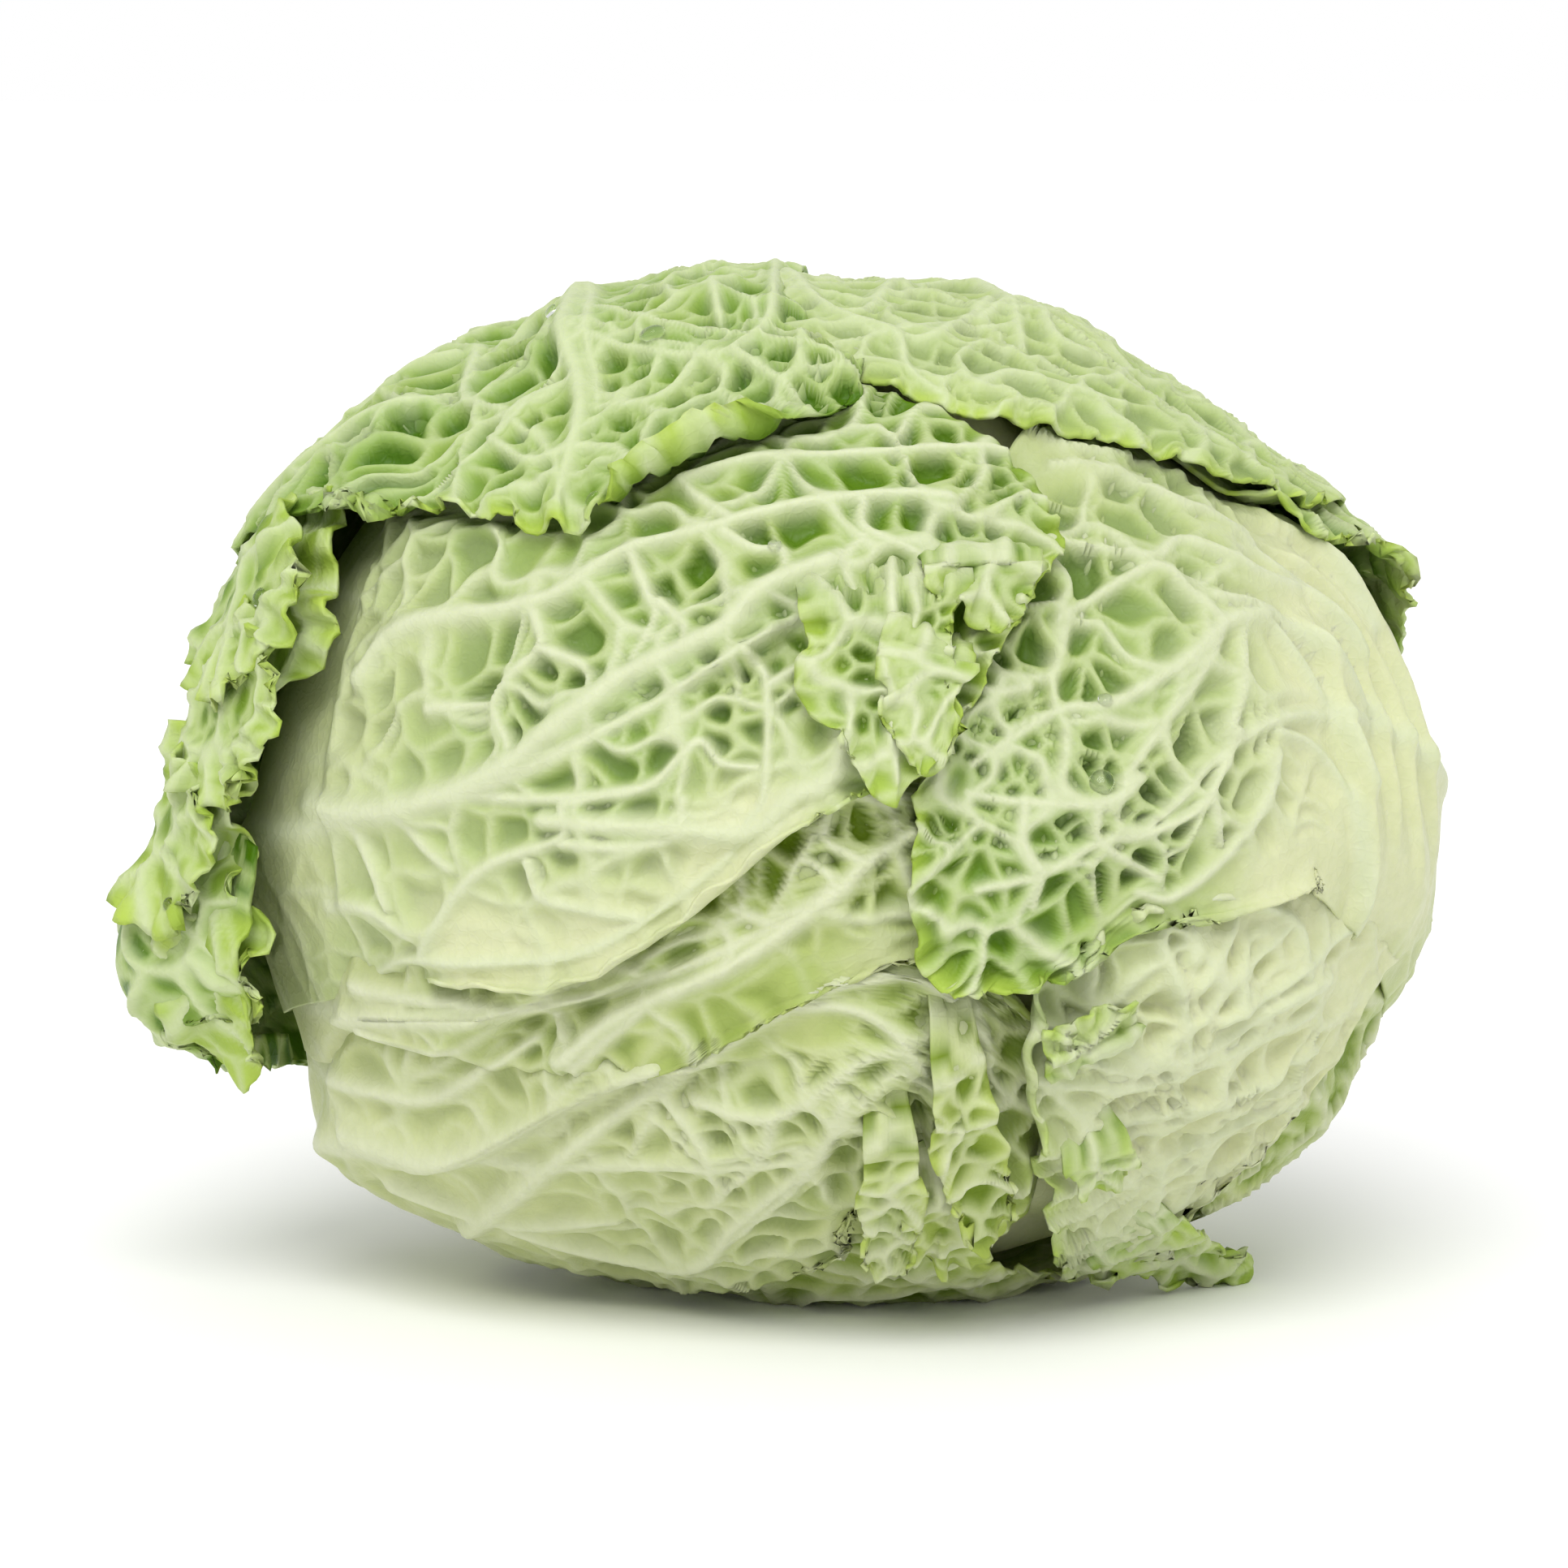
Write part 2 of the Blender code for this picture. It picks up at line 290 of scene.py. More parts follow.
@dataclass(frozen=True)
class LeafShape:
    """A wrapper leaf: where it lies, as in the part, and the detail of its blade.

    midrib runs from beside the stem to the tip. left and right are half widths in degrees at even steps
    along it. room is the leaf's layer in mm. cell is the size of the net's cells in mm, depth how far they
    sink and puff how much they bulge instead. laterals is the number of pairs of side veins that are made
    besides veins. young is how many mm of a frilled margin are yellow-green, and spacing the distance
    between the sheet's points where it shows. flares stand the leaf off the head. smooth and pale are
    patches where the net fades and where the blade is whitish; bare patches aren't buried though another
    leaf is near.
    """

    name: str
    midrib: Sequence[Point]
    left: Sequence[float]
    right: Sequence[float]
    slot: Slot = Slot.OUTER
    room: float = LEAF_ROOM
    cell: float = 6.6
    depth: float = 2.0
    puff: float = 0.0
    laterals: int = 0
    young: float = 3.0
    spacing: float = 0.75
    flares: Sequence[Bump] = ()
    veins: Sequence[Vein] = ()
    tucks: Sequence[Tuck] = ()
    smooth: Sequence[Bump] = ()
    pale: Sequence[Bump] = ()
    bare: Sequence[Bump] = ()
    frills: Sequence[Frill] = ()
    curls: Sequence[Curl] = ()
    lifts: Sequence[Lift] = ()
    reaches: Sequence[Reach] = ()


@dataclass(frozen=True)
class FlapShape(LeafShape):
    """A fold of a leaf's margin that lies on the outside of the leaf and has its slot.

    Its midrib runs from its root to its free end. The root stands off by root mm, which is below 0 where it
    is sunk, and the end by stand mm.
    """

    cell: float = 4.0
    depth: float = 1.2
    spacing: float = 0.5
    root: float = -2.0
    stand: float = 3.0


class LeafPath:
    """A leaf's midrib as even samples, each with its direction, the way ahead and the way to the right."""

    def __init__(self, shape: LeafShape) -> None:
        points = [direction(*point) for point in shape.midrib]
        if not isinstance(shape, FlapShape):
            outward = unit(points[0] - STEM_AXIS * (points[0] @ STEM_AXIS))
            angle = math.radians(LEAF_BASE_ANGLE)
            points.insert(0, math.cos(angle) * STEM_AXIS + math.sin(angle) * outward)
        curve = spline(np.array(points), 24)
        way = travelled(curve)
        self.middle = unit(columns_at(np.linspace(0.0, way[-1], PATH_SAMPLES), way, curve))
        ahead = np.gradient(self.middle, axis=0)
        ahead -= self.middle * (ahead * self.middle).sum(-1, keepdims=True)
        self.ahead = unit(ahead)
        self.right = np.cross(self.ahead, self.middle)
        turns = (self.middle[1:] * self.middle[:-1]).sum(-1)
        self.length = float(np.arccos(np.clip(turns, -1.0, 1.0)).sum())
        self.steps = np.linspace(0.0, 1.0, PATH_SAMPLES)
        self.left_width = self.widths(shape.left)
        self.right_width = self.widths(shape.right)

    def widths(self, values: Sequence[float]) -> Array:
        """Half widths in radians at every sample, eased between the given ones."""
        given = np.asarray(values, float)
        knots = np.linspace(0.0, 1.0, len(given))
        cell = np.clip(np.searchsorted(knots, self.steps, side="right") - 1, 0, len(given) - 2)
        t = smooth_step(0.0, 1.0, (self.steps - knots[cell]) / (knots[cell + 1] - knots[cell]))
        return np.radians(given[cell] * (1 - t) + given[cell + 1] * t)

    def directions(self, x: Array, y: Array) -> Array:
        """Directions for points of the leaf's square: x runs from left to right, and y from base to tip.

        The tip half of the square is rounded into an ellipse, and the base stays square.
        """
        rounding = smooth_step(-0.2, 0.4, y)
        across = x * np.sqrt(1.0 - rounding * y**2 / 2.0)
        along = (1.0 + y * np.sqrt(1.0 - rounding * x**2 / 2.0)) / 2.0
        at = along * (PATH_SAMPLES - 1)
        low = np.clip(at.astype(int), 0, PATH_SAMPLES - 2)
        part = (at - low)[..., None]
        middle = unit(self.middle[low] * (1 - part) + self.middle[low + 1] * part)
        right = unit(self.right[low] * (1 - part) + self.right[low + 1] * part)
        right_width = np.interp(along, self.steps, self.right_width)
        left_width = np.interp(along, self.steps, self.left_width)
        angle = (across * np.where(across > 0, right_width, left_width))[..., None]
        return middle * np.cos(angle) + right * np.sin(angle)

    def beyond(self, d: Array) -> Array:
        """How many degrees each direction lies outside the leaf's margin; inside it is below 0.

        The leaf is taken as a row of ellipses along the midrib, as wide as the leaf and COVER_LENGTH long.
        """
        length = math.radians(COVER_LENGTH)
        last = int((PATH_SAMPLES - 1) * (1.0 - min(0.5, length / self.length)))
        nearest = np.full(d.shape[:-1], np.inf)
        for k in range(0, last + 1, COVER_STEP):
            rounding = math.sqrt(1.0 - max(0.0, 2.0 * self.steps[k] - 1.0) ** 2)
            out, right = d @ self.middle[k], d @ self.right[k]
            aside = np.arctan2(right, out)
            ahead = np.arctan2(d @ self.ahead[k], np.hypot(out, right))
            width = np.where(aside > 0, self.right_width[k], self.left_width[k]) * rounding
            reach = np.hypot(aside / np.maximum(width, 0.05), ahead / length) + 1e-9
            nearest = np.minimum(nearest, np.hypot(aside, ahead) * (1.0 - 1.0 / reach))
        return np.degrees(nearest)


class Layers:
    """The leaves in their layers: how high each stands, and where it is buried under the others."""

    def __init__(self, shapes: Sequence[LeafShape]) -> None:
        self.shapes = shapes
        self.paths = [LeafPath(shape) for shape in shapes]

    def heights(self, index: int, d: Array) -> tuple[Array, Array]:
        """The layer of leaf number index at each direction; -1 is the inner leaves.

        A layer lies below every wrapper leaf outside it, and an outer leaf lies above those inside it.

        Returns:
            The layer's height over the head's own outside in mm, and how far it is buried, 0 to 1.
        """
        height = np.zeros(d.shape[:-1])
        buried = np.zeros(d.shape[:-1])
        for other, (shape, path) in enumerate(zip(self.shapes, self.paths)):
            outer = other >= len(self.shapes) - OUTER_LEAVES
            if other < index and not outer:
                continue
            flare = patches(shape.flares, d)
            if other == index:
                height += (shape.room if outer else 0.0) + flare
                continue
            beyond = path.beyond(d)
            cover = 1.0 - smooth_step(*COVER_FALL, beyond)
            if other > index:
                buried = np.maximum(buried, 1.0 - smooth_step(*BURIED_DEPTH, beyond))
            if outer and other <= index:
                height += (shape.room + flare) * cover
            elif not outer:
                height -= shape.room * cover
        return height, buried


class MarginMap:
    """Where the points of a leaf's square lie by its margin: how far in, and how far along it.

    From the base half a point looks straight sideways to the margin. From the tip half it looks along the
    ray from the square's centre. The margin is a line of samples up the left side, over the tip and down
    the right side.
    """

    SIDE = 240

    def __init__(self, path: LeafPath) -> None:
        t = np.linspace(-1.0, 1.0, self.SIDE)
        one = np.ones_like(t)
        x = np.concatenate([-one, t[1:], one[1:]])
        y = np.concatenate([t, one[1:], -t[1:]])
        self.rim = path.directions(x, y) * MEAN_RADIUS
        core = path.directions(np.zeros_like(x), np.minimum(y, 0.0)) * MEAN_RADIUS
        self.span = np.linalg.norm(self.rim - core, axis=1)
        self.along = travelled(self.rim)
        self.tangent = unit(np.gradient(self.rim, axis=0))
        self.samples = np.arange(len(self.along))

    def place(self, x: Array, y: Array) -> tuple[Array, Array, Array]:
        """Each point's place among the margin's samples, its mm in from the margin and its mm along it."""
        m = np.maximum(np.maximum(np.abs(x), y), 1e-6)
        rim_x = np.where(y > 0, x / m, np.sign(x))
        rim_y = np.where(y > 0, y / m, y)
        side = self.SIDE - 1
        up = (rim_y + 1.0) / 2.0 * side
        over = side + (rim_x + 1.0) / 2.0 * side
        down = 2 * side + (1.0 - rim_y) / 2.0 * side
        at = np.where(rim_y >= 0.999999, over, np.where(rim_x < 0, up, down))
        inward = (1.0 - m) * np.interp(at, self.samples, self.span)
        return at, inward, np.interp(at, self.samples, self.along)


class CellNet:
    """The net of small veins: the borders between cells that grow round seeds scattered over a leaf.

    A border lies midway between two seeds, and its distance is a soft minimum over all the other seeds, so
    that the corners of a cell are rounded.
    """

    SOFTNESS = 3.6
    CHUNK = 6000
    TRIES = 14000
    CLOSEST = 0.86

    def __init__(self, q: Array, sizes: Array, seed: int) -> None:
        """Scatters the seeds, each no nearer to another than its own size.

        Args:
            q: the places to choose from, (n, 3) in mm.
            sizes: the cell size wanted at each place.
            seed: what the draw starts from.
        """
        draw = np.random.default_rng(seed)
        order = draw.permutation(len(q))[: self.TRIES]
        chosen = np.empty((len(order), 3))
        kept: list[int] = []
        for i in order:
            near = chosen[: len(kept)] - q[i]
            if len(kept) == 0 or (near * near).sum(1).min() > (self.CLOSEST * sizes[i]) ** 2:
                chosen[len(kept)] = q[i]
                kept.append(i)
        self.seeds = chosen[: len(kept)].astype(np.float32)
        self.reach = sizes[kept].astype(np.float32) * 0.5
        self.factor = draw.uniform(0.4, 1.3, len(kept)).astype(np.float32)
        gap = np.linalg.norm(self.seeds[:, None] - self.seeds[None], axis=2)
        np.fill_diagonal(gap, 1.0)
        self.half_gap = 0.5 / gap

    def borders(self, q: Array) -> tuple[Array, Array, Array]:
        """Each place's distance to the nearest border in mm, its cell's reach and its cell's own factor."""
        q = q.astype(np.float32)
        distance = np.empty(len(q), np.float32)
        cell = np.empty(len(q), int)
        square = (self.seeds**2).sum(1)
        for low in range(0, len(q), self.CHUNK):
            part = q[low : low + self.CHUNK]
            apart = (part**2).sum(1)[:, None] + square[None] - 2.0 * part @ self.seeds.T
            own = apart.argmin(1)
            rows = np.arange(len(part))
            edge = (apart - apart[rows, own][:, None]) * self.half_gap[own]
            edge[rows, own] = 1e3
            nearest = edge.min(1)
            rest = np.exp(-self.SOFTNESS * (edge - nearest[:, None])).sum(1)
            distance[low : low + self.CHUNK] = nearest - np.log(rest) / self.SOFTNESS
            cell[low : low + self.CHUNK] = own
        return np.maximum(distance, 0.0), self.reach[cell], self.factor[cell]


class LinePlace(NamedTuple):
    """The points near a line: which, how far from it, how far along it (0 to 1) and on which side.

    side is 1 on the line's right and -1 on its left, as seen from outside.
    """

    near: Array
    away: Array
    along: Array
    side: Array


def beside_line(points: Sequence[Point], d: Array, within: float) -> LinePlace:
    """Finds the points within a distance of a smooth line through (clock, polar) points.

    Args:
        points: the line's points.
        d: directions of the leaf's points, (n, 3).
        within: how far in mm a point still counts.

    Returns:
        The places.
    """
    line = spline(np.array([direction(*point) for point in points]), 5)
    centre = unit(line.mean(0))
    spread = (line @ centre).min()
    angle = math.acos(max(-1.0, min(1.0, spread))) + within / MEAN_RADIUS
    near = np.nonzero(d @ centre > math.cos(min(angle, math.pi)))[0]
    q = d[near] * MEAN_RADIUS
    away = np.full(len(near), np.inf)
    along = np.zeros(len(near))
    side = np.ones(len(near))
    count = len(line) - 1
    for k in range(count):
        a, b = line[k] * MEAN_RADIUS, line[k + 1] * MEAN_RADIUS
        step = b - a
        t = np.clip((q - a) @ step / max(step @ step, 1e-9), 0.0, 1.0)
        gap = q - a - t[:, None] * step
        distance = np.linalg.norm(gap, axis=1)
        closer = distance < away
        away[closer] = distance[closer]
        along[closer] = (k + t[closer]) / count
        side[closer] = np.where((gap @ np.cross(step, line[k]))[closer] >= 0, 1.0, -1.0)
    kept = away < within
    return LinePlace(near[kept], away[kept], along[kept], side[kept])


@dataclass(frozen=True)
class NetLook:
    """How the net shapes the blade, with lengths in mm.

    warp is how far the cells' borders wander over a wave of warp_wave. A cell starts to sink at level from
    its border and is at its depth slope of its reach further in; a wide cell is wide times as big and sags
    by sag of the leaf's depth. small_vein and wide_vein are the half widths of the borders, and small_rise
    and wide_rise their heights. puff is the height of a full bulge and broad that of the blade's slow
    waves. The net fades over rim_fade from the margin, and the base is smooth and pale over base_fade of
    the square's height.
    """

    warp: float = 1.3
    warp_wave: float = 11.0
    level: float = 0.25
    slope: float = 0.6
    wide: float = 2.4
    small_vein: float = 0.65
    wide_vein: float = 1.1
    small_rise: float = 0.3
    wide_rise: float = 0.8
    sag: float = 0.35
    puff: float = 2.2
    broad: float = 0.6
    rim_fade: tuple[float, float] = (0.5, 10.0)
    base_fade: tuple[float, float] = (-0.95, -0.55)


NET = NetLook()


class LeafSheet:
    """A finished leaf: a fine outer sheet with its net, veins and frills, a coarser underside and a rim."""

    def __init__(self, layers: Layers, index: int, flap: FlapShape | None = None) -> None:
        """Places the sheet's points.

        Args:
            layers: all the leaves' layers.
            index: the leaf's number in them.
            flap: the flap on that leaf that this sheet is, if it isn't the leaf itself.
        """
        self.layers = layers
        self.index = index
        self.flap = flap
        self.leaf = layers.shapes[index]
        self.shape = flap or self.leaf
        self.path = LeafPath(flap) if flap else layers.paths[index]
        self.margin = MarginMap(self.path)
        self.seed = 100 * (index + 1) + (len(flap.name) if flap else 0)
        self.x, self.y = self.grid()
        self.at, self.inward, self.along = self.margin.place(self.x, self.y)
        self.share = self.along / self.margin.along[-1]
        grown = 1.0 + self.extra()
        self.d = self.path.directions(self.x * grown, np.where(self.y > 0, self.y * grown, self.y))

    def extra(self) -> Array:
        """By what share each point moves out from the square's centre for the margin's reaches."""
        m = np.maximum(np.abs(self.x), self.y)
        span = np.interp(self.at, self.margin.samples, self.margin.span)
        more = sum((r.more * r.over(self.share, 0.04) for r in self.shape.reaches), np.zeros_like(m))
        return more / span * np.clip(m, 0.0, 1.0) ** 3

    def grid(self) -> tuple[Array, Array]:
        """The square's x and y at every point, with the rows as close as the shape asks where it shows."""
        spacing = self.shape.spacing
        fine = np.linspace(0.0, 1.0, 2000)
        shown = smooth_step(SHOWN_FROM - 0.1, SHOWN_FROM + 0.02, fine)
        per_mm = shown / spacing + (1 - shown) / BACK_SPACING
        steps = (per_mm[1:] + per_mm[:-1]) / 2 * self.path.length * MEAN_RADIUS / 1999
        rows = np.concatenate([[0.0], np.cumsum(steps)])
        y = np.interp(np.linspace(0.0, rows[-1], self.rounded(rows[-1])), rows, fine) * 2.0 - 1.0
        widest = (self.path.left_width + self.path.right_width).max() * MEAN_RADIUS
        x = np.linspace(-1.0, 1.0, self.rounded(0.92 * widest / spacing))
        return np.meshgrid(x, y)

    @staticmethod
    def rounded(cells: float) -> int:
        """A number of points whose cells divide by COARSE_STEP."""
        return int(math.ceil(cells / COARSE_STEP)) * COARSE_STEP + 1

    @staticmethod
    def refine(count: int) -> Array:
        """The matrix that turns every COARSE_STEP-th value into all count of them, by Catmull-Rom curves."""
        coarse = (count - 1) // COARSE_STEP + 1
        at = np.arange(count) / COARSE_STEP
        low = np.minimum(at.astype(int), coarse - 2)
        t = at - low
        weights = [
            -0.5 * t + t**2 - 0.5 * t**3,
            1.0 - 2.5 * t**2 + 1.5 * t**3,
            0.5 * t + 2.0 * t**2 - 1.5 * t**3,
            -0.5 * t**2 + 0.5 * t**3,
        ]
        matrix = np.zeros((count, coarse))
        for offset, weight in zip((-1, 0, 1, 2), weights):
            np.add.at(matrix, (np.arange(count), np.clip(low + offset, 0, coarse - 1)), weight)
        return matrix

    def base(self) -> tuple[Array, Array]:
        """Distance from the head's centre and burial at every point, worked out on the coarse grid."""
        coarse = self.d[::COARSE_STEP, ::COARSE_STEP]
        height, buried = self.layers.heights(self.index, coarse)
        radius = head_radius(coarse) + height
        if self.flap:
            y = self.y[::COARSE_STEP, ::COARSE_STEP]
            radius += self.flap.root + (self.flap.stand - self.flap.root) * smooth_step(-1.0, -0.5, y)
            buried = np.zeros_like(buried)
        down, across = self.refine(self.x.shape[0]), self.refine(self.x.shape[1])
        buried = np.clip(down @ buried @ across.T, 0.0, 1.0)
        buried *= 1.0 - np.clip(patches(self.shape.bare, self.d), 0.0, 1.0)
        return down @ radius @ across.T, buried

    @staticmethod
    def normals(p: Array) -> Array:
        """Outward unit normals of a grid of points: the cross product of its two gradients."""
        return unit(np.cross(np.gradient(p, axis=1), np.gradient(p, axis=0)))

    def lateral_veins(self) -> list[Vein]:
        """Side veins at even steps along the midrib, each curving from it towards the tip and margin."""
        made: list[Vein] = []
        t = np.array([0.0, 0.35, 0.7, 1.0])
        for k in range(self.shape.laterals):
            start = 0.2 + 0.68 * (k + 0.5) / self.shape.laterals
            for side in (-1.0, 1.0):
                along = np.clip(start + 0.03 * side + 0.24 * t**0.8, 0.0, 0.97)
                at = (along * (PATH_SAMPLES - 1)).astype(int)
                width = (self.path.right_width if side > 0 else self.path.left_width)[at]
                angle = (side * 0.9 * t * width)[:, None]
                d = self.path.middle[at] * np.cos(angle) + self.path.right[at] * np.sin(angle)
                made.append(Vein(clock_points(d), 1.0, 0.8, 0.35))
        return made

    def vein_relief(self, d: Array) -> tuple[Array, Array]:
        """The rise of the drawn veins, and how much each point lies on one.

        A vein is a cord with a bell's profile on a foot about twice as wide. The midrib is wide and thick
        at the base and thins to the tip.
        """
        rise = np.zeros(len(d))
        mask = np.zeros(len(d))
        veins = self.lateral_veins() + list(self.shape.veins)
        if not self.flap:
            middle = self.path.middle[4 : int(0.93 * PATH_SAMPLES) : 8]
            veins.append(Vein(clock_points(middle), 3.4, 2.4, 0.3))
        for vein in veins:
            place = beside_line(vein.points, d, 4.5 * vein.width)
            thin = 1.0 - (1.0 - vein.keep) * place.along
            profile = bell(place.away, vein.width * thin)
            foot = bell(place.away, 2.1 * vein.width * thin)
            height = 1.2 * vein.height * thin * (0.75 * profile + 0.25 * foot)
            rise[place.near] = np.maximum(rise[place.near], height)
            mask[place.near] = np.maximum(mask[place.near], profile)
        return rise, mask

    def tuck_relief(self, d: Array) -> Array:
        """The rise of the tucks: proud on one side of each line and drawn in on the other."""
        folds = np.zeros(len(d))
        for tuck in self.shape.tucks:
            place = beside_line(tuck.points, d, 3.0 * tuck.reach)
            ends = smooth_step(0.0, 0.3, place.along) * (1.0 - smooth_step(0.7, 1.0, place.along))
            proud = smooth_step(-1.3, 1.3, place.side * place.away)
            height = tuck.rise * proud - tuck.dip * (1.0 - proud)
            folds[place.near] += bell(place.away, tuck.reach, 1.3) * ends * height
        return folds

    def relief(self, d: Array, buried: Array) -> tuple[Array, Array]:
        """The blade's rise, and how much of each colour it has.

        A cell is level by its border and sinks to a rounded pit. Wide cells sag under the small ones, their
        borders stand up as veins, and both fade on the drawn veins and on the smooth patches.

        Args:
            d: directions of the sheet's points, (n, 3).
            buried: how far each is buried under other leaves, 0 to 1.

        Returns:
            The rise in mm and the vein, pit, pale and young measures, (n, 4). The pit measure grows with a
            cell's depth and paints shade there.
        """
        shape, seed, inward = self.shape, self.seed, self.inward.ravel()
        q = d * MEAN_RADIUS
        at_base = np.zeros(len(d)) if self.flap else 1.0 - smooth_step(*NET.base_fade, self.y.ravel())
        smooth = np.clip(patches(shape.smooth, d) + 0.85 * at_base, 0.0, 1.0)
        warped = q + NET.warp * np.stack([swell(q, NET.warp_wave, seed + k) for k in range(3)], axis=1)
        sizes = shape.cell * (1.0 + 0.25 * swell(q, 40.0, seed + 5)) * (1.0 + 0.5 * smooth)
        sizes *= 0.75 + 0.25 * smooth_step(2.0, 12.0, inward)
        e, reach, factor = CellNet(warped, sizes, seed + 6).borders(warped)
        cell = smooth_step(0.0, 1.0, (e - NET.level) / (NET.slope * reach)) * factor
        wide_e, wide_reach, wide_factor = CellNet(warped, sizes * NET.wide, seed + 7).borders(warped)
        wide_cell = smooth_step(0.0, 1.0, wide_e / wide_reach) * wide_factor
        small_vein, wide_vein = bell(e, NET.small_vein), bell(wide_e, NET.wide_vein)
        rise, mask = self.vein_relief(d)
        net = (1.0 - smooth) * (1.0 - mask) * (1.0 - 0.9 * buried)
        net *= 0.55 + 0.45 * smooth_step(0.0, 3.0, inward)
        at_rim = smooth_step(*NET.rim_fade, inward)
        rim_share = 0.55 + 0.45 * at_rim
        deep = 1.0 + 0.3 * swell(q, 32.0, seed + 8)
        sink = shape.depth * net * cell * (1.0 - 0.8 * wide_vein) * deep * rim_share
        sag = NET.sag * shape.depth * net * wide_cell
        shown = 1.0 - buried
        total = (rise + self.tuck_relief(d) + NET.broad * swell(q, 24.0, seed + 9)) * shown
        total += (NET.wide_rise * wide_vein + NET.small_rise * small_vein) * net
        total += NET.puff * shape.puff * net * cell - (sink + sag) * (1.0 - 0.8 * shape.puff)
        total += (0.4 * shape.depth * (1.0 - smooth) + 0.7 * (1.0 - at_rim)) * shown
        veins = np.maximum(0.5 * small_vein, 0.9 * wide_vein) * (0.3 + 0.7 * (1.0 - smooth))
        # Painted shade: the deeper a cell sinks, the more of the darker pit colour it takes, on top of its
        # deeper green.
        pit_green_and_shade = smooth_step(0.0, 1.0, (sink / rim_share + 0.6 * sag) / (0.9 * shape.depth))
        pale = np.clip(patches(shape.pale, d) + 0.9 * at_base, 0.0, 1.0)
        frilled = [frill.over(self.share.ravel(), 0.05) for frill in shape.frills]
        young = bell(inward, shape.young, 1.5) * np.max([np.zeros(len(d)), *frilled], axis=0)
        young *= 0.8 + 0.2 * ripple(self.along.ravel(), 30.0, seed + 11)
        return total, np.stack([np.maximum(mask, veins), pit_green_and_shade, pale, np.clip(young, 0.0, 1.0)], axis=1)

    def frill(self, n: Array) -> Array:
        """How far each point moves for the frills, lifts and curls of the margin.

        A frill swings along the normal as 0.75 sin(phase) + 0.4, and along the margin as -sin(2 * phase),
        so that its ruffles are round; a second one of half the wavelength rides on it. A lift raises or
        sinks the margin, and a curl rolls a band of it round a cylinder.

        Args:
            n: the sheet's normals, (n, 3).

        Returns:
            The moves, (n, 3) in mm.
        """
        inward, along, share = self.inward.ravel(), self.along.ravel(), self.share.ravel()
        tangent = columns_at(self.at.ravel(), self.margin.samples, self.margin.tangent)
        tangent = unit(tangent - n * (n * tangent).sum(-1, keepdims=True))
        outward = np.cross(n, tangent)
        moved = np.zeros_like(n)
        for count, frill in enumerate(self.shape.frills):
            seed = self.seed + 20 + 3 * count
            ends = frill.over(share, 0.04)
            for octave, part in enumerate((1.0, 0.45)):
                wave = frill.wave * (1.0, 0.5)[octave]
                phase = 2 * math.pi * along / wave + 1.9 * ripple(along, 4.0 * wave, seed + 50 * octave)
                size = frill.height * part * ends * bell(inward, part * frill.reach, 1.4)
                size *= 0.8 + 0.4 * ripple(along, 3.1 * wave, seed + 1 + 50 * octave)
                moved += (size * (0.75 * np.sin(phase) + 0.4))[:, None] * n
                moved -= (np.minimum(0.3 * size, 0.05 * wave) * np.sin(2.0 * phase))[:, None] * tangent
            scallop = ends * bell(inward, 5.0) * ripple(along, 1.3 * frill.wave, seed + 2)
            moved += (0.4 * frill.height * scallop)[:, None] * outward
        for lift in self.shape.lifts:
            fall = np.clip(1.0 - inward / lift.reach, 0.0, 1.0) ** 1.6
            moved += (lift.height * lift.over(share, 0.05) * fall)[:, None] * n
        for curl in self.shape.curls:
            ends = curl.over(share, 0.03) * (0.8 + 0.25 * ripple(along, 11.0, self.seed + 15))
            band = np.clip(curl.reach - inward, 0.0, None)
            turned = np.maximum(ends * math.radians(curl.turn) / curl.reach, 1e-6)
            out = np.sin(band * turned) / turned - band
            up = (1.0 - np.cos(band * turned)) / turned
            moved += out[:, None] * outward + up[:, None] * n
        return moved

    def points(self) -> tuple[Array, Array]:
        """The outer sheet's points in mm, (rows, columns, 3), and its growth measures, (rows, columns, 4)."""
        radius, buried = self.base()
        p = HEAD_CENTRE + self.d * radius[..., None]
        n = self.normals(p)
        n *= np.sign((n * self.d).sum(-1, keepdims=True))
        n, buried = n.reshape(-1, 3), buried.ravel()
        rise, growth = self.relief(self.d.reshape(-1, 3), buried)
        moved = self.frill(n) * (1.0 - buried)[:, None]
        result = p.reshape(-1, 3) + n * (rise - BURIED_SINK * buried)[:, None] + moved
        result[:, 2] = np.maximum(result[:, 2], LEAF_CLEARANCE)
        return result.reshape(p.shape), growth.reshape(*p.shape[:2], 4)

    def build(self, finish: Material) -> Piece:
        """Makes the leaf's closed mesh, with its underside's points under every second row and column."""
        self.outer, growth = self.points()
        half = (slice(None, None, UNDERSIDE_STEP),) * 2
        under = (self.outer - SHEET_THICKNESS * self.normals(self.outer))[half]
        under[..., 2] = np.maximum(under[..., 2], UNDERSIDE_CLEARANCE)
        points = np.vstack([self.outer.reshape(-1, 3), under.reshape(-1, 3)])
        growth = np.vstack([growth.reshape(-1, 4), growth[half].reshape(-1, 4)])
        faces = closed_sheet_faces(self.outer.shape[:2])
        made = mesh_piece(f"{self.shape.name}_blade", points, *faces, growth)
        return dress(made, finish, [self.leaf.name])


def grid_quads(rows: int, columns: int, first: int = 0) -> Array:
    """Quads of a grid numbered row by row, facing the side that sees its rows go up and columns right."""
    r, c = np.meshgrid(np.arange(rows - 1), np.arange(columns - 1), indexing="ij")
    a = (first + r * columns + c).ravel()
    return np.stack([a, a + 1, a + columns + 1, a + columns], axis=1)


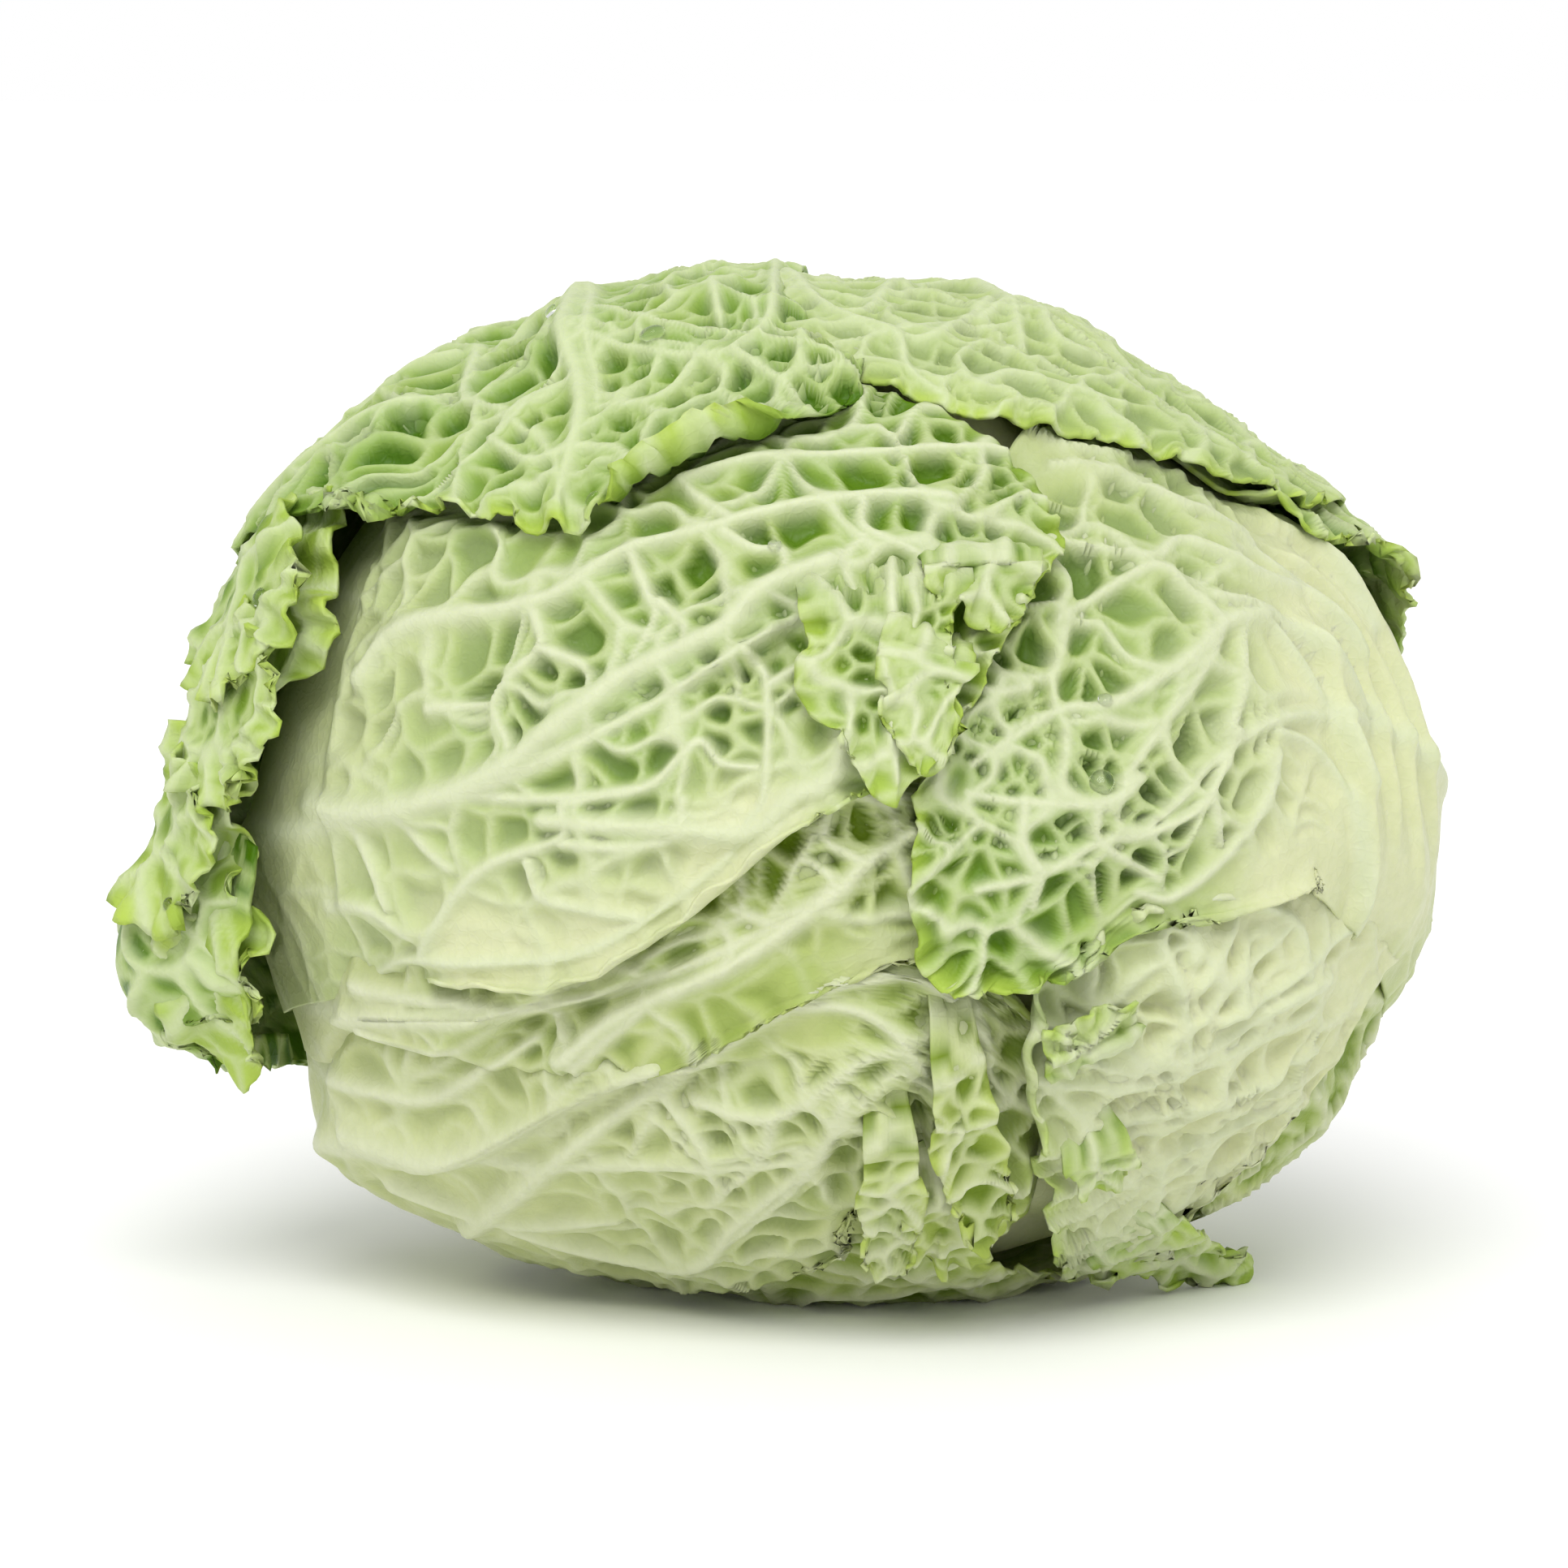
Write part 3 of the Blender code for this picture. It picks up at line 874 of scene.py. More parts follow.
def loop_of(rows: int, columns: int, first: int = 0) -> Array:
    """The boundary points of such a grid, once round against the clock, from its first point."""
    bottom = np.arange(columns - 1)
    right = np.arange(rows - 1) * columns + columns - 1
    top = (rows - 1) * columns + np.arange(columns - 1, 0, -1)
    left = np.arange(rows - 1, 0, -1) * columns
    return first + np.concatenate([bottom, right, top, left])


def closed_sheet_faces(fine: tuple[int, int]) -> tuple[Array, Array]:
    """Faces that close a fine outer grid with an inner one of every second row and column, and a rim.

    Args:
        fine: the rows and columns of the outer grid. The inner one follows it in the numbering.

    Returns:
        The quads and the triangles.
    """
    first = fine[0] * fine[1]
    inner = [(count - 1) // UNDERSIDE_STEP + 1 for count in fine]
    rim, low = loop_of(*fine), loop_of(*inner, first)
    a, m, b, high = rim[0::2], rim[1::2], np.roll(rim, -2)[0::2], np.roll(low, -1)
    triangles = [np.stack(three, axis=1) for three in ((m, a, low), (m, low, high), (b, m, high))]
    return np.vstack([grid_quads(*fine), grid_quads(*inner, first)[:, ::-1]]), np.vstack(triangles)


def ring_round(axis: Array, beside: tuple[float, float, float], sides: int) -> Array:
    """Unit vectors round an axis, against the clock as seen from its end. The first is square to beside."""
    turn = np.linspace(0.0, 2 * math.pi, sides, endpoint=False)[:, None]
    aside = unit(np.cross(axis, beside))
    return np.cos(turn) * aside + np.sin(turn) * np.cross(axis, aside)


def turned_faces(rings: int, sides: int) -> tuple[Array, Array]:
    """Faces of a closed turned body whose points are its rings, going up, then its lower and its upper pole.

    Returns:
        The quads and the triangles.
    """
    i, j = np.meshgrid(np.arange(rings - 1), np.arange(sides), indexing="ij")
    a, b = i * sides + j, i * sides + (j + 1) % sides
    quads = np.stack([a, b, b + sides, a + sides], axis=-1).reshape(-1, 4)
    j = np.arange(sides)
    after, top, pole = (j + 1) % sides, (rings - 1) * sides, np.full(sides, rings * sides)
    foot = np.stack([after, j, pole], axis=1)
    return quads, np.vstack([foot, np.stack([top + j, top + after, pole + 1], axis=1)])


def mesh_piece(
    name: str, points: Array, quads: Array, triangles: Array | None = None, growth: Array | None = None
) -> Piece:
    """Makes a smooth-shaded mesh object.

    Args:
        name: the piece's name.
        points: (n, 3) in mm.
        quads: (m, 4) point numbers.
        triangles: (k, 3) point numbers, if there are any.
        growth: (n, 4), the vein, pit, pale and young measures of every point, if its looks follow them.

    Returns:
        The object, linked to the scene.
    """
    triangles = np.empty((0, 3), int) if triangles is None else triangles
    mesh = bpy.data.meshes.new(name)
    mesh.vertices.add(len(points))
    mesh.vertices.foreach_set("co", (points * MM).astype(np.float32).ravel())
    corners = np.concatenate([quads.ravel(), triangles.ravel()]).astype(np.int32)
    mesh.loops.add(len(corners))
    mesh.loops.foreach_set("vertex_index", corners)
    starts = np.concatenate([4 * np.arange(len(quads)), 4 * len(quads) + 3 * np.arange(len(triangles))])
    mesh.polygons.add(len(starts))
    mesh.polygons.foreach_set("loop_start", starts.astype(np.int32))
    mesh.update(calc_edges=True)
    mesh.validate()
    mesh.shade_smooth()
    if growth is not None:
        layer = mesh.attributes.new("growth", "FLOAT_COLOR", "POINT")
        layer.data.foreach_set("color", growth.astype(np.float32).ravel())
    made = bpy.data.objects.new(name, mesh)
    bpy.context.scene.collection.objects.link(made)
    return made


def dress(piece: Piece, finish: Material, nodes: Sequence[str]) -> Piece:
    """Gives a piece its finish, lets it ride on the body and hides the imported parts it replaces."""
    piece.data.materials.append(finish)
    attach(piece, ROOT_BODY)
    if nodes:
        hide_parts(*nodes)
    LOG.info("%s: %d faces", piece.name, len(piece.data.polygons))
    return piece


class NodeTree:
    """A material's nodes, added one at a time. place is the point's own position in metres."""

    def __init__(self, name: str) -> None:
        self.material = bpy.data.materials.new(name)
        self.material.use_nodes = True
        self.tree = self.material.node_tree
        self.shader = self.tree.nodes["Principled BSDF"]
        self.place = self.add("ShaderNodeTexCoord", {}).outputs["Object"]

    def put(self, node: bpy.types.Node, inputs: dict[str | int, object]) -> None:
        """Sets each of a node's inputs to a value, or links another node's socket to it."""
        for name, value in inputs.items():
            if isinstance(value, bpy.types.NodeSocket):
                self.tree.links.new(value, node.inputs[name])
            else:
                node.inputs[name].default_value = value

    def add(self, kind: str, inputs: dict[str | int, object], **settings: object) -> bpy.types.Node:
        """Adds a node with its properties and inputs."""
        node = self.tree.nodes.new(kind)
        for name, value in settings.items():
            setattr(node, name, value)
        self.put(node, inputs)
        return node

    def mix(self, factor: object, a: object, b: object, blend: str = "MIX") -> Socket:
        """A colour that goes from a to b with the factor. Each is a value or a socket."""
        a, b = ((*end, 1.0) if isinstance(end, tuple) else end for end in (a, b))
        inputs = {"Factor": factor, 6: a, 7: b}
        return self.add("ShaderNodeMix", inputs, data_type="RGBA", blend_type=blend).outputs[2]

    def noise(self, per_metre: float, detail: float) -> Socket:
        """Noise with the given number of waves to the metre."""
        inputs = {"Vector": self.place, "Scale": per_metre, "Detail": detail}
        return self.add("ShaderNodeTexNoise", inputs).outputs["Fac"]

    def spread(self, value: Socket, low: float, high: float, to: Point) -> Socket:
        """The value from low to high as one that runs between the ends of to."""
        inputs = {"Value": value, "From Min": low, "From Max": high, "To Min": to[0], "To Max": to[1]}
        return self.add("ShaderNodeMapRange", inputs, clamp=True).outputs["Result"]

    def roughness(self, per_metre: float, detail: float, to: Point) -> None:
        """Lets the surface's roughness vary between the ends of to, with noise."""
        self.put(self.shader, {"Roughness": self.spread(self.noise(per_metre, detail), 0.3, 0.7, to)})

    def bump(self, height: Socket, strength: float, distance: float) -> None:
        """Gives the surface relief that is too fine to be geometry. distance is its depth in metres."""
        inputs = {"Height": height, "Strength": strength, "Distance": distance}
        self.put(self.shader, {"Normal": self.add("ShaderNodeBump", inputs).outputs["Normal"]})

    def growth(self) -> tuple[Socket, ...]:
        """The vein, pit, pale and young measures of the growth attribute."""
        growth = self.add("ShaderNodeAttribute", {}, attribute_name="growth")
        channels = self.add("ShaderNodeSeparateColor", {"Color": growth.outputs["Color"]}).outputs
        return channels["Red"], channels["Green"], channels["Blue"], growth.outputs["Alpha"]


@dataclass(frozen=True)
class LeafFinish:
    """A leaf's surface: its colours on the blade, in the cells, on the veins, at the base and by the margin.
    The colour in the cells is partly the leaf's deeper green and partly painted shade that darkens the pits.

    roughness is the range over which its gloss varies.
    """

    slot: Slot
    blade: Colour
    blade_light: Colour
    # Colour at the bottom of the cells: the deeper green there plus painted shade.
    pit_green_and_shade: Colour
    vein: Colour
    pale: Colour
    young: Colour
    roughness: Point = (0.35, 0.52)

    def material(self) -> Material:
        """A satin skin with light under it, whose colour follows the growth attribute and two noises."""
        tree = NodeTree(self.slot.value)
        vein, pit_green_and_shade, pale, young = tree.growth()
        broad = tree.spread(tree.noise(70.0, 2.0), 0.35, 0.65, (0.0, 1.0))
        mottle = tree.spread(tree.noise(420.0, 3.0), 0.3, 0.7, (0.0, 1.0))
        colour = tree.mix(broad, self.blade, self.blade_light)
        # The pit measure mixes in the darker cell colour, painting shade into the pits along with their
        # deeper green.
        for share, over in ((pit_green_and_shade, self.pit_green_and_shade), (pale, self.pale), (young, self.young), (vein, self.vein)):
            colour = tree.mix(share, colour, over)
        fleck = tree.mix(mottle, (0.93, 0.94, 0.9), (1.0, 1.0, 1.0))
        inputs = {
            "Base Color": tree.mix(1.0, colour, fleck, "MULTIPLY"), "Specular IOR Level": 0.18,
            "Subsurface Weight": 0.2, "Subsurface Radius": (0.9, 1.0, 0.35), "Subsurface Scale": 0.0009,
        }
        tree.put(tree.shader, inputs)
        tree.roughness(900.0, 2.0, self.roughness)
        inputs = {"Vector": tree.place, "Scale": 620.0}
        skin = tree.add("ShaderNodeTexVoronoi", inputs, feature="DISTANCE_TO_EDGE").outputs["Distance"]
        tree.bump(tree.spread(skin, 0.0, 0.16, (1.0, 0.0)), 0.16, 0.0003)
        return tree.material


@dataclass(frozen=True)
class StemFinish:
    """The cut stem's surface: creamy fibres with a greener skin."""

    name: str = "stem"
    fibre: Colour = (0.72, 0.68, 0.46)
    skin: Colour = (0.55, 0.62, 0.33)
    dry: Colour = (0.50, 0.40, 0.22)

    def material(self) -> Material:
        """A matt surface that goes from fibre to skin with the growth attribute, with dry flecks."""
        tree = NodeTree(self.name)
        colour = tree.mix(tree.growth()[1], self.fibre, self.skin)
        flecks = tree.spread(tree.noise(650.0, 4.0), 0.52, 0.78, (0.0, 0.6))
        tree.put(tree.shader, {"Base Color": tree.mix(flecks, colour, self.dry)})
        tree.roughness(300.0, 2.0, (0.55, 0.75))
        tree.bump(tree.noise(1500.0, 3.0), 0.4, 0.0004)
        return tree.material


@dataclass(frozen=True)
class WaterFinish:
    """Clear water."""

    name: str = "water"
    tint: Colour = (0.97, 1.0, 0.96)

    def material(self) -> Material:
        """A clear surface with full transmission, whose smoothness varies a little."""
        tree = NodeTree(self.name)
        tree.put(tree.shader, {"Base Color": (*self.tint, 1.0), "IOR": 1.33, "Transmission Weight": 1.0})
        tree.roughness(400.0, 1.0, (0.0, 0.03))
        return tree.material


@dataclass(frozen=True)
class InnerLeaves:
    """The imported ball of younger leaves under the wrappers.

    gap is how far in mm its outside lies under the wrappers' layer, fold how deep its folds are, fold_wave
    the way from one to the next and stretch what draws them out from front to back.
    """

    gap: float = INNER_LEAVES_DEPTH
    fold: float = 0.5
    fold_wave: float = 14.0
    stretch: tuple[float, float, float] = (1.0, 0.35, 1.0)
    subdivisions: int = 6
    seed: int = 900

    def build(self, layers: Layers, finish: Material) -> Piece:
        """A ball of triangles pushed out to the layer's height, with folds that run from front to back."""
        ball = bmesh.new()
        bmesh.ops.create_icosphere(ball, subdivisions=self.subdivisions, radius=1.0)
        ball.verts.index_update()
        d = unit(np.array([vertex.co for vertex in ball.verts], dtype=float))
        faces = np.array([[vertex.index for vertex in face.verts] for face in ball.faces])
        ball.free()
        folds = swell(d * MEAN_RADIUS * self.stretch, self.fold_wave, self.seed)
        radius = head_radius(d) + layers.heights(-1, d)[0] - self.gap - self.fold * (1.0 + folds) / 2.0
        points = HEAD_CENTRE + d * radius[:, None]
        points[:, 2] = np.maximum(points[:, 2], INNER_LEAVES_CLEARANCE)
        growth = np.zeros((len(d), 4))
        growth[:, 1] = np.clip(0.5 - 0.5 * folds, 0.0, 1.0)
        made = mesh_piece("inner_leaves_ball", points, np.empty((0, 4), int), faces, growth)
        return dress(made, finish, ["inner_leaves"])


@dataclass(frozen=True)
class Stem:
    """The cut stem: a stump from inside the leaves' bases to a cut face proud mm past them. Sizes in mm."""

    radius: float = 14.5
    proud: float = 3.0
    length: float = 15.0
    bevel: float = 1.4
    dish: float = 0.9
    sides: int = 96

    def profile(self) -> tuple[Array, Array]:
        """The outline from the foot's middle, up the side, over the bevel to the cut face's middle.

        Returns:
            Each ring's radius and its height over the foot.
        """
        foot = np.linspace(0.02, 1.0, 5)
        side = np.linspace(0.0, 1.0, 16)[1:]
        turn = np.linspace(0.0, math.pi / 2, 6)[1:]
        face = np.linspace(1.0, 0.012, 16)[1:]
        inner, top = self.radius - self.bevel, self.length - self.bevel
        rounded, dished = inner + self.bevel * np.cos(turn), self.length - self.dish * (1.0 - face) ** 0.7
        radius = [foot * self.radius, np.full(len(side), self.radius), rounded, inner * face]
        height = [np.zeros(len(foot)), side * top, top + self.bevel * np.sin(turn), dished]
        return np.concatenate(radius), np.concatenate(height)

    def build(self, finish: Material) -> Piece:
        """A turned body with shallow ridges down its side and ribs of fibre across its cut face."""
        radius, height = self.profile()
        angle = np.linspace(0.0, 2 * math.pi, self.sides, endpoint=False)
        ridges = 0.25 * ripple(angle * self.radius, 2 * math.pi * self.radius / 7.0, 71)
        ridges *= smooth_step(0.0, 0.6, np.minimum(angle, 2 * math.pi - angle))
        share = (radius / self.radius)[:, None]
        wide = radius[:, None] + ridges * share**3
        fibres = 0.12 * np.sin(9 * angle) * share * (height[:, None] > self.length - self.bevel)
        end = float(head_radius(STEM_AXIS[None])[0]) + self.proud
        along = end - self.length + height[:, None] + fibres
        ring = ring_round(STEM_AXIS, (0.0, 0.0, 1.0), self.sides)
        rings = HEAD_CENTRE + wide[..., None] * ring + along[..., None] * STEM_AXIS
        points = np.vstack([rings.reshape(-1, 3), rings[[0, -1]].mean(1)])
        growth = np.zeros((len(points), 4))
        growth[:-2, 1] = np.repeat(smooth_step(0.82, 1.0, radius / self.radius), self.sides)
        made = mesh_piece("stem_stump", points, *turned_faces(len(radius), self.sides), growth)
        return dress(made, finish, ["stem"])


class Drop(NamedTuple):
    """A water drop: its (clock, polar) place on the head and its radius in mm."""

    clock: float
    polar: float
    radius: float


@dataclass(frozen=True)
class WaterDrops:
    """Small drops of water on the outermost leaf wherever they are.

    flatness is a drop's height over its radius, lift how far it stands off in radii, and search the angle
    in radians within which its leaf point is looked for.
    """

    drops: Sequence[Drop]
    flatness: float = 0.55
    lift: float = 0.15
    search: float = 0.012
    sides: int = 20
    rings: int = 10

    def build(self, sheets: Sequence[LeafSheet], finish: Material) -> Piece:
        """One mesh of closed lenses, each centred just over the leaf and turned to its normal."""
        bodies = [self.lens(drop.radius, *self.seat(drop, sheets)) for drop in self.drops]
        first = len(bodies[0]) * np.arange(len(bodies))[:, None, None]
        body_faces = turned_faces(self.rings - 1, self.sides)
        faces = [(first + part).reshape(-1, part.shape[1]) for part in body_faces]
        return dress(mesh_piece("water_drops", np.vstack(bodies), *faces), finish, [])

    def seat(self, drop: Drop, sheets: Sequence[LeafSheet]) -> tuple[Array, Array]:
        """The outermost leaf point in the drop's direction and the leaf's normal there."""
        aim = direction(drop.clock, drop.polar)
        best, found = 0.0, (HEAD_CENTRE, aim)
        for sheet in sheets:
            points = sheet.outer.reshape(-1, 3)
            reach = np.linalg.norm(points - HEAD_CENTRE, axis=1)
            near = np.nonzero((points - HEAD_CENTRE) @ aim > math.cos(self.search) * reach)[0]
            if len(near) and reach[near].max() > best:
                k = near[reach[near].argmax()]
                best, found = reach[k], (points[k], LeafSheet.normals(sheet.outer).reshape(-1, 3)[k])
        return found

    def lens(self, radius: float, place: Array, normal: Array) -> Array:
        """A flattened ball's points: its rings from the leaf up, then its two poles."""
        down = np.linspace(math.pi, 0.0, self.rings + 1)[1:-1, None, None]
        ring = ring_round(normal, (0.31, 0.2, 0.93), self.sides)
        body = np.sin(down) * ring + np.cos(down) * self.flatness * normal
        poles = np.stack([-normal, normal]) * self.flatness
        return place + radius * (self.lift * normal + np.vstack([body.reshape(-1, 3), poles]))


@dataclass(frozen=True)
class Stage:
    """The white floor, the lights and the camera, for the pictures only. Lengths in metres."""

    floor_size: float = 20.0
    fill: float = 0.76
    key_strength: float = 1.8
    key_angle: float = 38.0
    key_place: tuple[float, float, float] = (-0.08, -0.95, 1.15)
    aim: tuple[float, float, float] = (0.0, 0.0, 0.0765)
    distance: float = 1.003
    elevation: float = 7.0
    lens: float = 150.0
    sensor: float = 36.0

    def build(self) -> None:
        """Adds them all to the scene."""
        self.floor()
        self.world()
        self.key_light()
        self.camera()

    def floor(self) -> None:
        """A wide white sheet at z = 0 whose tone varies very slightly."""
        half = self.floor_size / 2 / MM
        corners = np.array([[-half, -half, 0.0], [half, -half, 0.0], [half, half, 0.0], [-half, half, 0.0]])
        floor = mesh_piece("floor_sheet", corners, np.array([[0, 1, 2, 3]]))
        tree = NodeTree("floor_white")
        tone = tree.mix(tree.noise(9.0, 1.0), (0.985, 0.985, 0.985), (1.0, 1.0, 1.0))
        tree.put(tree.shader, {"Base Color": tone, "Specular IOR Level": 0.1})
        tree.roughness(30.0, 1.0, (0.75, 0.85))
        floor.data.materials.append(tree.material)

    def world(self) -> None:
        """A white surround that lights the object with the fill's strength."""
        world = bpy.data.worlds.new("white_surround")
        world.use_nodes = True
        tree = world.node_tree
        background = tree.nodes["Background"]
        background.inputs["Color"].default_value = (1.0, 1.0, 1.0, 1.0)
        seen = tree.nodes.new("ShaderNodeLightPath").outputs["Is Camera Ray"]
        strength = tree.nodes.new("ShaderNodeMapRange")
        strength.inputs["To Min"].default_value = self.fill
        tree.links.new(seen, strength.inputs["Value"])
        tree.links.new(strength.outputs["Result"], background.inputs["Strength"])
        bpy.context.scene.world = world

    def key_light(self) -> None:
        """Wide soft light from the upper left, in front."""
        light = bpy.data.lights.new("key", "SUN")
        light.energy = self.key_strength
        light.angle = math.radians(self.key_angle)
        self.place("key", light, Vector(self.key_place), Vector(self.aim) - Vector(self.key_place))

    def camera(self) -> None:
        """The view from the front, a little above the head's middle."""
        camera = bpy.data.cameras.new("front")
        camera.lens = self.lens
        camera.sensor_width = self.sensor
        lift = math.radians(self.elevation)
        away = Vector((0.0, -math.cos(lift), math.sin(lift))) * self.distance
        bpy.context.scene.camera = self.place("front", camera, Vector(self.aim) + away, -away)

    @staticmethod
    def place(name: str, data: bpy.types.ID, at: Vector, towards: Vector) -> bpy.types.Object:
        """Adds a light or a camera at a place, turned to look along a vector."""
        made = bpy.data.objects.new(name, data)
        made.location = at
        made.rotation_euler = towards.to_track_quat("-Z", "Y").to_euler()
        bpy.context.scene.collection.objects.link(made)
        return made


# The pit colours are darker than the cells' own green alone: they carry painted shade for the sunken cells.
LEAF_FINISHES = [
    LeafFinish(
        Slot.PALE, blade=(0.35, 0.45, 0.10), blade_light=(0.45, 0.52, 0.18), pit_green_and_shade=(0.16, 0.245, 0.010),
        vein=(0.63, 0.66, 0.455), pale=(0.60, 0.62, 0.37), young=(0.45, 0.55, 0.12),
    ),
    LeafFinish(
        Slot.MIDDLE, blade=(0.25, 0.395, 0.05), blade_light=(0.34, 0.455, 0.10), pit_green_and_shade=(0.095, 0.20, 0.003),
        vein=(0.62, 0.66, 0.445), pale=(0.63, 0.655, 0.40), young=(0.40, 0.54, 0.08),
    ),
    LeafFinish(
        Slot.OUTER, blade=(0.235, 0.385, 0.05), blade_light=(0.32, 0.445, 0.09), pit_green_and_shade=(0.07, 0.17, 0.003),
        vein=(0.58, 0.65, 0.385), pale=(0.59, 0.645, 0.34), young=(0.44, 0.58, 0.09),
    ),
    LeafFinish(
        Slot.HEART, blade=(0.70, 0.72, 0.44), blade_light=(0.76, 0.77, 0.50), pit_green_and_shade=(0.60, 0.65, 0.32),
        vein=(0.78, 0.79, 0.58), pale=(0.76, 0.77, 0.52), young=(0.66, 0.68, 0.32),
    ),
]

